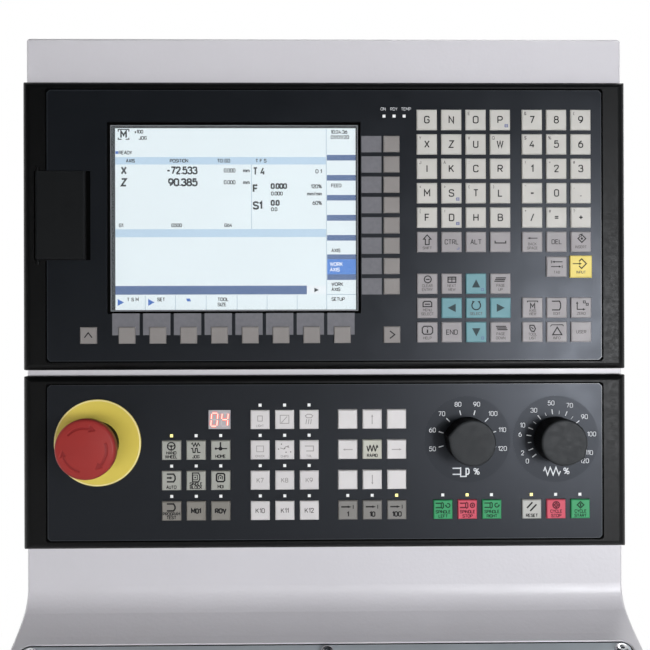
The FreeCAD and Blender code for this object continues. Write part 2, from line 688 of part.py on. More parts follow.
def panel_frame(z, height, board_back, posts):
    """A moulded front frame with its overlay recess, rear spigot and board posts."""
    across = swept(roll_outline(PANEL_WIDTH / 2, SIDE_ROLL, lambda u, y: V(u, y, z - height / 2)),
                   V(0, 0, height))
    upright = swept(roll_outline(height / 2, END_ROLL, lambda u, y: V(-PANEL_WIDTH / 2, y, z + u)),
                    V(PANEL_WIDTH, 0, 0))
    rounded = stacked([frame_outline(z, height, y) for y in (BEZEL_Y - PAST, FACE_Y + PAST)])
    body = across.common(upright).common(rounded)
    spigot = spigot_plate(z, height, 0.0, (FACE_Y, SPIGOT_Y))
    spigot = spigot.cut(spigot_plate(z, height, SPIGOT_WALL, (FACE_Y - PAST, SPIGOT_Y + PAST)))
    ys = (FACE_Y - PAST, FACE_Y + board_back)
    stands = [plate(x, z + dz, POST_SIDE, POST_SIDE, ys) for x, dz in posts]
    body = body.fuse([spigot] + stands)
    return body.cut(overlay_plate(z, height, 0.0, (BEZEL_Y - PAST, OVERLAY_BACK_Y)))


def rear_case(z, height, depth):
    """A sheet case on the back of a frame's spigot, with cooling slots in its back."""
    ys = (SPIGOT_Y, SPIGOT_Y + depth)
    case = spigot_plate(z, height, 0.0, ys)
    case = case.cut(spigot_plate(z, height, CASE_WALL, (ys[0] - PAST, ys[1] - CASE_WALL)))
    slots = []
    for number in range(CASE_SLOTS):
        x = (number - (CASE_SLOTS - 1) / 2) * CASE_SLOT_PITCH
        slots.append(plate(x, z, CASE_SLOT_WIDTH, CASE_SLOT_HEIGHT, (ys[1] - CASE_WALL - PAST, ys[1] + PAST)))
    return case.cut(slots)


def board_posts(height, middle):
    """Where the posts for a panel's board stand: four corners and a middle pair."""
    x = CUTOUT_WIDTH / 2 - SPIGOT_CLEAR - POST_INSET
    z = height / 2 - CUTOUT_MARGIN - SPIGOT_CLEAR - POST_END_INSET
    return [(side, end) for side in (-x, middle, x) for end in (-z, z)]


def operator_posts():
    """Board posts of the operator panel, clear of the screen."""
    return board_posts(OPERATOR_HEIGHT, STATUS_LED_X + 2 * STATUS_LED_PITCH + POST_FROM_LED)


def machine_posts():
    """Board posts of the machine panel, clear of the keys and the emergency stop."""
    return board_posts(MACHINE_HEIGHT, (CUSTOM_X + 2 * MACHINE_PITCH + JOG_X) / 2)


def screen_plate(shrink, ys):
    """A plate in the screen's opening, smaller all round by shrink."""
    width = SCREEN_OPEN_WIDTH - 2 * shrink
    height = SCREEN_OPEN_HEIGHT - 2 * shrink
    return plate(SCREEN_X, OPERATOR_Z + SCREEN_Z, width, height, ys)


def screen_bevel():
    """The tapered cutter that leaves the sloping rim round the screen."""
    half_wide = SCREEN_OPEN_WIDTH / 2
    half_high = SCREEN_OPEN_HEIGHT / 2
    rings = []
    for shrink, y in ((0.0, OVERLAY_BACK_Y), (SCREEN_BEVEL, GLASS_Y)):
        corners = []
        for side, end in ((-1, -1), (1, -1), (1, 1), (-1, 1)):
            x = SCREEN_X + side * (half_wide - shrink)
            z = OPERATOR_Z + SCREEN_Z + end * (half_high - shrink)
            corners.append(V(x, y, z))
        rings.append(closed_wire(corners[0], corners[1:]))
    return Part.makeLoft(rings, True, True)


def flap_pocket(grow, ys):
    """The interface flap's place with its finger gap, larger by grow above, below and at the hinge."""
    xs = (FLAP_PIN_X - FLAP_KNUCKLE - grow, FLAP_RIGHT + FINGER_GAP)
    return block(xs, ys, (OPERATOR_Z + FLAP_LOW - grow, OPERATOR_Z + FLAP_HIGH + grow))


FLAP_Y = BEZEL_Y - FLAP_PROUD
HINGE_Y = FLAP_Y + FLAP_KNUCKLE


def flap_cutters():
    """What is cut from the frame for the flap: its pocket, knuckle groove, pin pits and bay."""
    low = OPERATOR_Z + FLAP_LOW
    high = OPERATOR_Z + FLAP_HIGH
    floor = FLAP_Y + FLAP_THICK + FLAP_CLEAR
    groove = FLAP_KNUCKLE + FLAP_CLEAR
    cutters = [flap_pocket(FLAP_CLEAR, (BEZEL_Y - PAST, floor))]
    cutters.append(Part.makeCylinder(
        groove, high - low + 2 * FLAP_CLEAR, V(FLAP_PIN_X, HINGE_Y, low - FLAP_CLEAR)))
    pin_hole = HINGE_PIN / 2 + HINGE_CLEAR
    for end, way in ((low, -1), (high, 1)):
        cutters.append(Part.makeCylinder(
            pin_hole, FLAP_CLEAR + HINGE_PIN_HOLD, V(FLAP_PIN_X, HINGE_Y, end), V(0, 0, way)))
        pit = (end + way * FLAP_CLEAR, end + way * (FLAP_CLEAR + HINGE_PIT))
        side = HINGE_PIN
        cutters.append(block((FLAP_PIN_X - side, FLAP_PIN_X + side), (BEZEL_Y - PAST, HINGE_Y), pit))
    cutters.append(block((BAY_LEFT, BAY_RIGHT), (BEZEL_Y, FACE_Y + PAST),
                         (OPERATOR_Z + BAY_LOW, OPERATOR_Z + BAY_HIGH)))
    return cutters


def led_place(x, z, grow, ys):
    """An indicator's square, larger all round by grow."""
    return plate(x, z, LED_SIZE + 2 * grow, LED_SIZE + 2 * grow, ys)


def status_led_places():
    """The three status indicators of the operator panel."""
    return [(STATUS_LED_X + n * STATUS_LED_PITCH, OPERATOR_Z + STATUS_LED_Z) for n in range(3)]


def operator_frame():
    """The operator panel's frame, open for the screen, the interface bay and the indicators."""
    frame = panel_frame(OPERATOR_Z, OPERATOR_HEIGHT, OPERATOR_BOARD_BACK, operator_posts())
    cutters = [screen_bevel(), screen_plate(-GLASS_LAP, (GLASS_Y, FACE_Y + PAST))]
    cutters += flap_cutters()
    for x, z in status_led_places():
        cutters.append(led_place(x, z, LED_CLEAR, (OVERLAY_BACK_Y - PAST, FACE_Y + PAST)))
    return frame.cut(cutters)


def display_window():
    """The glass over the screen, seated behind the frame's lip."""
    return screen_plate(GLASS_CLEAR - GLASS_LAP, (GLASS_Y, GLASS_Y + GLASS_THICK))


def display_module():
    """The flat screen behind its glass."""
    return screen_plate(GLASS_CLEAR - GLASS_LAP, (MODULE_Y, MODULE_Y + MODULE_THICK))


# Keys


def key_cap(x, z, width, height, back):
    """A key's cap from a back plane to its top, with bevelled top edges."""
    top = OVERLAY_Y - KEY_PROUD
    cap = plate(x, z, width, height, (top, back))
    rim = [edge for edge in cap.Edges if abs(edge.CenterOfMass.y - top) < SAME_PLACE]
    return cap.makeChamfer(KEY_CHAMFER, rim)


def operator_key_places():
    """Each fixed key of the operator panel as (x, z, width, height), from the panel's centre."""
    keys = []
    for row in range(6):
        z = LETTER_Z - row * LETTER_ROW_PITCH
        keys += [(LETTER_X + n * LETTER_PITCH, z, LETTER_KEY, LETTER_KEY) for n in range(4)]
        keys += [(DIGIT_X + n * LETTER_PITCH, z, LETTER_KEY, LETTER_KEY) for n in range(3)]
    tab_z = CURSOR_Z + TAB_ABOVE_CURSOR
    keys.append((DIGIT_X + LETTER_PITCH, tab_z, LETTER_KEY, LETTER_KEY))
    keys.append((DIGIT_X + 2 * LETTER_PITCH, tab_z, INPUT_KEY, INPUT_KEY))
    for row in range(3):
        z = CURSOR_Z - row * CURSOR_PITCH
        keys += [(LETTER_X + n * LETTER_PITCH, z, LETTER_KEY, LETTER_KEY) for n in range(4)]
        if row:
            keys += [(DIGIT_X + n * LETTER_PITCH, z, LETTER_KEY, LETTER_KEY) for n in range(3)]
    for n in range(8):
        keys.append((SOFT_ROW_X + n * SOFT_ROW_PITCH, SOFT_ROW_Z, SOFT_KEY, SOFT_KEY))
        z = SOFT_COLUMN_Z - n * SOFT_COLUMN_PITCH
        keys.append((SOFT_COLUMN_X, z, SOFT_COLUMN_KEY, SOFT_COLUMN_KEY))
    keys.append((SOFT_ROW_X - SOFT_RETURN_LEFT, SOFT_ROW_Z, SOFT_KEY, SOFT_KEY))
    keys.append((SOFT_COLUMN_X, SOFT_ROW_Z, SOFT_KEY, SOFT_KEY))
    return keys


def operator_overlay():
    """The operator panel's overlay sheet with its fixed keys."""
    overlay = overlay_plate(OPERATOR_Z, OPERATOR_HEIGHT, OVERLAY_GAP, (OVERLAY_Y, OVERLAY_BACK_Y))
    ys = (OVERLAY_Y - PAST, OVERLAY_BACK_Y + PAST)
    cutters = [screen_plate(0.0, ys), flap_pocket(FLAP_CLEAR, ys)]
    cutters += [led_place(x, z, LED_CLEAR, ys) for x, z in status_led_places()]
    overlay = overlay.cut(cutters)
    caps = [key_cap(x, OPERATOR_Z + z, width, height, OVERLAY_Y + OVERLAY_THICK / 2)
            for x, z, width, height in operator_key_places()]
    return overlay.fuse(caps)


def machine_row(row):
    """The height of a row of machine keys."""
    return MACHINE_Z + MACHINE_ROW_Z - row * MACHINE_ROW_PITCH


def key_grid(left, names, first_row):
    """Named keys in rows of three, as {name: (x, z)}."""
    places = {}
    for number, name in enumerate(names):
        row = first_row + number // 3
        places[name] = (left + number % 3 * MACHINE_PITCH, machine_row(row))
    return places


MODE_KEYS = key_grid(MODE_X, [
    "hand_wheel_key", "jog_key", "ref_point_key",
    "auto_key", "single_block_key", "mda_key",
    "program_test_key", "optional_stop_key", "rapid_override_key"], 1)
AXIS_KEYS = key_grid(JOG_X, [
    "axis_key_upper_left", "axis_key_up", "axis_key_upper_right",
    "axis_key_left", "rapid_key", "axis_key_right",
    "axis_key_lower_left", "axis_key_down", "axis_key_lower_right"], 0)
STEP_KEYS = key_grid(JOG_X, ["step_1_key", "step_10_key", "step_100_key"], 3)
SPINDLE_KEYS = key_grid(SPINDLE_X, ["spindle_left_key", "spindle_stop_key", "spindle_right_key"], 3)
CYCLE_KEYS = key_grid(CYCLE_X, ["reset_key", "cycle_stop_key", "cycle_start_key"], 3)
CUSTOM_KEYS = key_grid(CUSTOM_X, ["custom_key_%d" % number for number in range(1, 13)], 0)
MOVING_KEYS = {**MODE_KEYS, **AXIS_KEYS, **STEP_KEYS, **SPINDLE_KEYS, **CYCLE_KEYS}
LIT_KEYS = {**MODE_KEYS, **CUSTOM_KEYS, **STEP_KEYS, **SPINDLE_KEYS, **CYCLE_KEYS}
KEY_FLANGE = MACHINE_KEY + 2 * KEY_FLANGE_LAP


def machine_key(x, z):
    """A key that travels: its cap, the flange that the overlay holds in, and its stem."""
    flange_front = OVERLAY_BACK_Y + KEY_CLEAR
    flange_back = flange_front + KEY_FLANGE_THICK
    stem_end = MACHINE_BOARD_Y - DOME_HIGH - DOME_CLEAR - KEY_TRAVEL
    flange = plate(x, z, KEY_FLANGE, KEY_FLANGE, (flange_front, flange_back))
    stem = plate(x, z, KEY_STEM, KEY_STEM, (flange_front, stem_end))
    return key_cap(x, z, MACHINE_KEY, MACHINE_KEY, flange_back).fuse([flange, stem])


def machine_led_places():
    """Each machine-panel indicator, above its key."""
    return [(x, z + LED_ABOVE_KEY) for x, z in LIT_KEYS.values()]


def tool_display_place(grow, ys):
    """The tool display's window, larger all round by grow."""
    width = TOOL_DISPLAY_WIDTH + 2 * grow
    height = TOOL_DISPLAY_HEIGHT + 2 * grow
    return plate(MODE_X + TOOL_DISPLAY_RIGHT, MACHINE_Z + MACHINE_ROW_Z, width, height, ys)


def machine_bores(ys):
    """What passes the machine panel beside its keys: tool display, emergency stop and knobs."""
    bores = [tool_display_place(LED_CLEAR, ys)]
    bores.append(drum(ESTOP_X, MACHINE_Z + ESTOP_Z, ESTOP_HOLE / 2, ys))
    for x in (SPINDLE_KNOB_X, FEED_KNOB_X):
        bores.append(drum(x, MACHINE_Z + KNOB_Z, KNOB_HOLE / 2, ys))
    return bores


def machine_frame():
    """The machine panel's frame, with a guide pit for each key and its indicator."""
    ys = (OVERLAY_BACK_Y - PAST, FACE_Y + PAST)
    half = KEY_FLANGE / 2 + KEY_CLEAR
    above_led = LED_ABOVE_KEY + LED_SIZE / 2 + LED_CLEAR
    cutters = machine_bores(ys)
    for name, (x, z) in MOVING_KEYS.items():
        top = z + (above_led if name in LIT_KEYS else half)
        cutters.append(block((x - half, x + half), ys, (z - half, top)))
    cutters += [led_place(x, z + LED_ABOVE_KEY, LED_CLEAR, ys) for x, z in CUSTOM_KEYS.values()]
    return panel_frame(MACHINE_Z, MACHINE_HEIGHT, MACHINE_BOARD_BACK, machine_posts()).cut(cutters)


def machine_overlay():
    """The machine panel's overlay sheet, with the twelve customer keys fixed on it."""
    overlay = overlay_plate(MACHINE_Z, MACHINE_HEIGHT, OVERLAY_GAP, (OVERLAY_Y, OVERLAY_BACK_Y))
    ys = (OVERLAY_Y - PAST, OVERLAY_BACK_Y + PAST)
    key_hole = MACHINE_KEY + 2 * KEY_CLEAR
    cutters = machine_bores(ys)
    cutters += [plate(x, z, key_hole, key_hole, ys) for x, z in MOVING_KEYS.values()]
    cutters += [led_place(x, z, LED_CLEAR, ys) for x, z in machine_led_places()]
    caps = [key_cap(x, z, MACHINE_KEY, MACHINE_KEY, OVERLAY_Y + OVERLAY_THICK / 2)
            for x, z in CUSTOM_KEYS.values()]
    return overlay.cut(cutters).fuse(caps)


def light_pipes(places, board_y):
    """Square light pipes that stand on a board and end just proud of the overlay."""
    return Part.makeCompound([led_place(x, z, 0.0, (OVERLAY_Y - LED_PROUD, board_y)) for x, z in places])


# Boards, cases and clamps


def board(z, height, y, cutters):
    """A circuit board inside a frame's spigot."""
    ys = (y, y + BOARD_THICK)
    return spigot_plate(z, height, SPIGOT_WALL + BOARD_CLEAR, ys).cut(cutters)


def operator_board():
    """The operator panel's board, open in the middle for the screen's leads and cooling."""
    ys = (OPERATOR_BOARD_Y - PAST, OPERATOR_BOARD_Y + BOARD_THICK + PAST)
    return board(OPERATOR_Z, OPERATOR_HEIGHT, OPERATOR_BOARD_Y, [screen_plate(BOARD_LAP, ys)])


def machine_board():
    """The machine panel's board with a contact under each key."""
    ys = (MACHINE_BOARD_Y - PAST, MACHINE_BOARD_Y + BOARD_THICK + PAST)
    room = SWITCH_SIZE + 2 * BOARD_CLEAR
    cutters = [plate(x, MACHINE_Z + KNOB_Z, room, room, ys) for x in (SPINDLE_KNOB_X, FEED_KNOB_X)]
    cutters.append(plate(ESTOP_X, MACHINE_Z + ESTOP_Z, room, room, ys))
    bare = board(MACHINE_Z, MACHINE_HEIGHT, MACHINE_BOARD_Y, cutters)
    dome_ys = (MACHINE_BOARD_Y - DOME_HIGH, MACHINE_BOARD_Y + BOARD_THICK / 2)
    domes = [plate(x, z, KEY_STEM, KEY_STEM, dome_ys) for x, z in MOVING_KEYS.values()]
    return bare.fuse(domes)


def panel_clamps():
    """The screw clamps that pull each panel against the housing's face."""
    clamps = []
    start = SPIGOT_Y + CLAMP_LENGTH / 2
    for z, height in ((OPERATOR_Z, OPERATOR_HEIGHT), (MACHINE_Z, MACHINE_HEIGHT)):
        half = height / 2 - CUTOUT_MARGIN - SPIGOT_CLEAR
        for x in (-CLAMP_X, CLAMP_X):
            for way in (-1, 1):
                near = z + way * half
                far = z + way * (half + CLAMP_HEIGHT)
                xs = (x - CLAMP_WIDTH / 2, x + CLAMP_WIDTH / 2)
                shoe = block(xs, (start, start + CLAMP_LENGTH), (near, far))
                ys = (FACE_Y + SHEET, start + PAST)
                screw = plate(x, (near + far) / 2, CLAMP_SCREW, CLAMP_SCREW, ys)
                clamps.append(shoe.fuse(screw))
    return Part.makeCompound(clamps)


# Interface flap


def interface_flap():
    """The hinged flap: a plate with a barrel along its left edge and a finger lip on its right."""
    low = OPERATOR_Z + FLAP_LOW
    high = OPERATOR_Z + FLAP_HIGH
    leaf = block((FLAP_PIN_X, FLAP_RIGHT), (FLAP_Y, FLAP_Y + FLAP_THICK), (low, high))
    lip = [edge for edge in edges_along(leaf, V(0, 0, 1))
           if edge.CenterOfMass.x > FLAP_PIN_X + PAST and edge.CenterOfMass.y < FLAP_Y + PAST]
    leaf = leaf.makeChamfer(FLAP_LIP, lip)
    barrel = Part.makeCylinder(FLAP_KNUCKLE, high - low, V(FLAP_PIN_X, HINGE_Y, low))
    bores = []
    for end, way in ((low, 1), (high, -1)):
        bores.append(Part.makeCylinder(
            HINGE_PIN / 2 + HINGE_CLEAR, HINGE_PIN_IN_FLAP + HINGE_CLEAR,
            V(FLAP_PIN_X, HINGE_Y, end), V(0, 0, way)))
    return leaf.fuse(barrel).cut(bores)


def flap_pins():
    """The two hinge pins, held in the frame and running in the flap."""
    pins = []
    length = HINGE_PIN_HOLD + FLAP_CLEAR + HINGE_PIN_IN_FLAP
    for end, way in ((FLAP_LOW, 1), (FLAP_HIGH, -1)):
        start = OPERATOR_Z + end - way * (FLAP_CLEAR + HINGE_PIN_HOLD)
        pins.append(Part.makeCylinder(HINGE_PIN / 2, length, V(FLAP_PIN_X, HINGE_Y, start), V(0, 0, way)))
    return Part.makeCompound(pins)


def interface_socket():
    """The socket block behind the flap, on the board, with two stick ports and a network port."""
    front = FACE_Y + SOCKET_FRONT
    body = block((BAY_LEFT - SOCKET_LAP, BAY_RIGHT + SOCKET_LAP), (front, OPERATOR_BOARD_Y),
                 (OPERATOR_Z + BAY_LOW - SOCKET_LAP, OPERATOR_Z + BAY_HIGH + SOCKET_LAP))
    middle = (BAY_LEFT + BAY_RIGHT) / 2
    ys = (front - PAST, OPERATOR_BOARD_Y - SOCKET_FLOOR)
    high = OPERATOR_Z + BAY_HIGH - PORT_INSET
    low = OPERATOR_Z + BAY_LOW + PORT_INSET
    stick_places = (high, high - STICK_PORT_PITCH)
    ports = [plate(middle, z, STICK_PORT_WIDTH, STICK_PORT_HEIGHT, ys) for z in stick_places]
    ports.append(plate(middle, low, NETWORK_PORT_WIDTH, NETWORK_PORT_HEIGHT, ys))
    return body.cut(ports)


# Emergency stop and override knobs


def above(height):
    """The Y of a height above the overlays."""
    return OVERLAY_Y - height


def estop_plate():
    """The yellow disc under the emergency stop."""
    edge = ESTOP_PLATE / 2
    disc = faceted(ESTOP_X, MACHINE_Z + ESTOP_Z, [(edge, above(0.0)), (edge, above(ESTOP_PLATE_THICK))])
    hole = drum(ESTOP_X, MACHINE_Z + ESTOP_Z, ESTOP_HOLE / 2, (above(-PAST), above(ESTOP_PLATE_THICK + PAST)))
    return disc.cut(hole)


def estop_collar():
    """The black collar and its barrel, in which the plunger runs."""
    z = MACHINE_Z + ESTOP_Z
    radius = ESTOP_COLLAR / 2
    collar = faceted(ESTOP_X, z, [
        (radius, above(ESTOP_PLATE_THICK)),
        (radius, above(ESTOP_COLLAR_TOP - ESTOP_COLLAR_BEVEL)),
        (radius - ESTOP_COLLAR_BEVEL, above(ESTOP_COLLAR_TOP)),
    ])
    barrel_end = FACE_Y + CONTACT_NECK
    barrel = drum(ESTOP_X, z, ESTOP_BARREL / 2, (above(ESTOP_PLATE_THICK), barrel_end))
    bore_ys = (above(ESTOP_COLLAR_TOP + PAST), barrel_end + PAST)
    return collar.fuse(barrel).cut(drum(ESTOP_X, z, PLUNGER_RADIUS + ESTOP_RUNNING, bore_ys))


def estop_plunger():
    """The plunger that joins the mushroom to the contacts."""
    shoulder = MUSHROOM_LOW - MUSHROOM_GAP
    stub_top = MUSHROOM_RIM_HIGH - MUSHROOM_GAP
    body_end = FACE_Y + CONTACT_NECK - ESTOP_TRAVEL - MUSHROOM_GAP
    tail_end = FACE_Y + CONTACT_NECK + CONTACT_LENGTH / 2
    z = MACHINE_Z + ESTOP_Z
    body = drum(ESTOP_X, z, PLUNGER_RADIUS, (above(shoulder), body_end))
    stub = drum(ESTOP_X, z, PLUNGER_STUB, (above(stub_top), above(shoulder)))
    return body.fuse([stub, drum(ESTOP_X, z, PLUNGER_TAIL, (body_end, tail_end))])


def estop_mushroom():
    """The red mushroom head: a cone below, an eased rim and a low dome with a flat crown."""
    z = MACHINE_Z + ESTOP_Z
    radius = MUSHROOM / 2
    cheek_radius = radius - MUSHROOM_CHEEK
    cheek_top = MUSHROOM_RIM_HIGH + MUSHROOM_CHEEK
    bulge = MUSHROOM_CHEEK * math.sqrt(0.5)
    dome_centre = cheek_top - math.sqrt(MUSHROOM_DOME ** 2 - cheek_radius ** 2)

    def on_dome(at_radius):
        return (at_radius, above(dome_centre + math.sqrt(MUSHROOM_DOME ** 2 - at_radius ** 2)))

    head = faceted(ESTOP_X, z, [
        (MUSHROOM_FOOT, above(MUSHROOM_LOW)),
        (radius, above(MUSHROOM_RIM_LOW)),
        (radius, above(MUSHROOM_RIM_HIGH)),
        (cheek_radius + bulge, above(MUSHROOM_RIM_HIGH + bulge)),
        on_dome(cheek_radius),
        on_dome((cheek_radius + MUSHROOM_CROWN) / 2),
        on_dome(MUSHROOM_CROWN),
    ])
    bore_ys = (above(MUSHROOM_LOW - PAST), above(MUSHROOM_RIM_HIGH))
    return head.cut(drum(ESTOP_X, z, PLUNGER_STUB + ESTOP_RUNNING, bore_ys))


def estop_contact_block():
    """The contact block clamped round the collar's barrel behind the frame."""
    z = MACHINE_Z + ESTOP_Z
    neck_end = FACE_Y + CONTACT_NECK
    body = plate(ESTOP_X, z, CONTACT_SIZE, CONTACT_SIZE, (FACE_Y, neck_end + CONTACT_LENGTH))
    socket = drum(ESTOP_X, z, ESTOP_HOLE / 2, (FACE_Y - PAST, neck_end))
    tail_room = CONTACT_LENGTH / 2 + ESTOP_TRAVEL + DOME_CLEAR
    well = drum(ESTOP_X, z, PLUNGER_TAIL + KEY_CLEAR, (neck_end - PAST, neck_end + tail_room))
    return body.cut([socket, well])


def override_knob(x, rest):
    """A drop-shaped knob with its pointer nose, its chamfered rim and its shaft."""
    z = MACHINE_Z + KNOB_Z
    tangent = math.degrees(math.acos(KNOB_RADIUS / KNOB_NOSE))
    round_turns = [tangent + (360.0 - 2 * tangent) * side / ROUND_SIDES for side in range(ROUND_SIDES + 1)]

    chamfered = 1.0 - KNOB_CHAMFER / KNOB_RADIUS

    def drop(share, height):
        corners = []
        for radius, turn in [(KNOB_NOSE, 0.0)] + [(KNOB_RADIUS, turn) for turn in round_turns]:
            dx, dz = polar(radius * share, rest + turn)
            corners.append(V(x + dx, above(height), z + dz))
        return corners

    body = stacked([drop(1.0, KNOB_LOW), drop(1.0, KNOB_TOP - KNOB_CHAMFER), drop(chamfered, KNOB_TOP)])
    ends = (above(KNOB_LOW + PAST), FACE_Y + SWITCH_LENGTH - KNOB_SHAFT_SHORT)
    shaft = drum(x, z, KNOB_SHAFT / 2, ends)
    return body.fuse(shaft)


def override_switches():
    """The two rotary switches behind the frame, bored for the knobs' shafts."""
    switches = []
    z = MACHINE_Z + KNOB_Z
    for x in (SPINDLE_KNOB_X, FEED_KNOB_X):
        body = plate(x, z, SWITCH_SIZE, SWITCH_SIZE, (FACE_Y, FACE_Y + SWITCH_LENGTH))
        bore = KNOB_SHAFT / 2 + KNOB_SHAFT_CLEAR
        body = body.cut(drum(x, z, bore, (FACE_Y - PAST, FACE_Y + SWITCH_LENGTH + PAST)))
        switches.append(body)
    return Part.makeCompound(switches)


def all_nodes():
    """Every piece by its name."""
    nodes = {
        "console_housing": console_housing(),
        "cable_grommet": cable_grommet(),
        "rear_cover": rear_cover(),
        "rear_cover_seal": rear_cover_seal(),
        "desk_plate": desk_plate(),
        "desk_plate_seal": desk_plate_seal(),
        "cover_screws": cover_screws(),
        "operator_frame": operator_frame(),
        "operator_overlay": operator_overlay(),
        "display_window": display_window(),
        "display_module": display_module(),
        "operator_board": operator_board(),
        "operator_rear_case": rear_case(OPERATOR_Z, OPERATOR_HEIGHT, OPERATOR_CASE_DEPTH),
        "status_leds": light_pipes(status_led_places(), OPERATOR_BOARD_Y),
        "interface_flap": interface_flap(),
        "flap_pins": flap_pins(),
        "interface_socket": interface_socket(),
        "machine_frame": machine_frame(),
        "machine_overlay": machine_overlay(),
        "machine_board": machine_board(),
        "machine_rear_case": rear_case(MACHINE_Z, MACHINE_HEIGHT, MACHINE_CASE_DEPTH),
        "key_leds": light_pipes(machine_led_places(), MACHINE_BOARD_Y),
        "tool_display": tool_display_place(0.0, (OVERLAY_Y + TOOL_DISPLAY_SUNK, MACHINE_BOARD_Y)),
        "panel_clamps": panel_clamps(),
        "estop_plate": estop_plate(),
        "estop_collar": estop_collar(),
        "estop_plunger": estop_plunger(),
        "estop_mushroom": estop_mushroom(),
        "estop_contact_block": estop_contact_block(),
        "spindle_override_knob": override_knob(SPINDLE_KNOB_X, SPINDLE_REST),
        "feed_override_knob": override_knob(FEED_KNOB_X, FEED_REST),
        "override_switches": override_switches(),
    }
    for name, (x, z) in MOVING_KEYS.items():
        nodes[name] = machine_key(x, z)
    return nodes


os.makedirs("parts", exist_ok=True)
for name, shape in all_nodes().items():
    shape.exportStep("parts/%s.step" % name)
    counts = (name, len(shape.Solids), len(shape.Faces), shape.isValid())
    print("%-24s solids %2d  faces %4d  valid %s" % counts)
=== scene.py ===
"""The looks of the lathe's operator console: finishes, legends, screen picture, light and camera.

Panel drawings below are in millimetres: x to the operator's right and z up, from the centre of the
panel or key they belong to. Everything in Blender is in metres, in the frame of the CAD.
"""
import json
import math

import bpy
from mathutils import Matrix, Vector


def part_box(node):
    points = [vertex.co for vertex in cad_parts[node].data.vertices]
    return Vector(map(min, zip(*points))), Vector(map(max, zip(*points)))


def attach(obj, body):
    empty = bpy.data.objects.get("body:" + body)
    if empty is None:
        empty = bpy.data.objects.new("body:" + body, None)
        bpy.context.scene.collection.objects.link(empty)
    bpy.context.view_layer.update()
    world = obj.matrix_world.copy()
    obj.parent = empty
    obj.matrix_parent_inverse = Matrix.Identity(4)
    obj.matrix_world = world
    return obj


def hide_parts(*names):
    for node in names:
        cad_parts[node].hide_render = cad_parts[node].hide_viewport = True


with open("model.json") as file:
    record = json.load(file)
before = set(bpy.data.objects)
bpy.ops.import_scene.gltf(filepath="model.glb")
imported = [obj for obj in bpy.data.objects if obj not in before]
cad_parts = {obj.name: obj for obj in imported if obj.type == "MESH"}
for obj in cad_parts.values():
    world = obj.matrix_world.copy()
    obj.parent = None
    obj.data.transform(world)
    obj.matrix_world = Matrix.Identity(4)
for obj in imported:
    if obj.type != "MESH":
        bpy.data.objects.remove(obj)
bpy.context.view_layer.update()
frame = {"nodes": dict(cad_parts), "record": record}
NODES = frame["nodes"]
MM = 0.001

# Planes and centres that the panels' drawings use, as in the part's source
OPERATOR_Z = 365.7
OVERLAY_Y = -23.4
KEY_TOP_Y = -25.0
MODULE_Y = -18.8
INK = 0.03  # how thick print is
HAIR = 0.0008  # how far apart marks of one print lie, so that none coincide


# Colours


def tone(red, green, blue):
    """A colour given as display values from 0 to 255, as the shaders want it."""
    def linear(value):
        value /= 255.0
        return value / 12.92 if value <= 0.04045 else ((value + 0.055) / 1.055) ** 2.4
    return (linear(red), linear(green), linear(blue), 1.0)


# Shader nodes and materials


def numbers(text):
    """The numbers of a list such as 3,.5."""
    return [float(part) for part in text.split(",")]


class Shading:
    """The nodes of one shader tree. An input takes a value or another node's output."""

    def __init__(self, tree):
        self.tree = tree

    def join(self, source, target):
        if hasattr(source, "node"):
            self.tree.links.new(source, target)
        else:
            target.default_value = source

    def node(self, kind, inputs, **settings):
        """Adds a node with its settings and inputs, and gives its outputs."""
        made = self.tree.nodes.new("ShaderNode" + kind)
        for name, value in settings.items():
            setattr(made, name, value)
        for name, source in inputs.items():
            self.join(source, made.inputs[name])
        return made.outputs

    def spread(self, value, start, end, low, high, **settings):
        """A value that runs from start to end, carried over to low to high."""
        return self.node("MapRange", {"Value": value, "From Min": start, "From Max": end, "To Min": low,
                                      "To Max": high}, **settings)["Result"]

    def ramp(self, *sizes):
        return self.spread(*sizes, interpolation_type="SMOOTHSTEP")

    def math(self, operation, first, second):
        return self.node("Math", {0: first, 1: second}, operation=operation)[0]

    def axes(self, socket):
        """The x, y and z of the texture coordinates that a socket gives."""
        return self.node("SeparateXYZ", {0: self.node("TexCoord", {})[socket]})

    def ray_kinds(self):
        """Whether a ray comes from the camera, and whether from gloss or glass."""
        path = self.node("LightPath", {})
        return path["Is Camera Ray"], self.math("MAXIMUM", path["Is Glossy Ray"], path["Is Transmission Ray"])

    def mix(self, factor, first, second):
        return self.node("MixShader", {0: factor, 1: first, 2: second})[0]


NOISE_RANGE = (0.3, 0.7)  # where most of the noise lies
EVEN = (1.0, 1.0, 1.0)


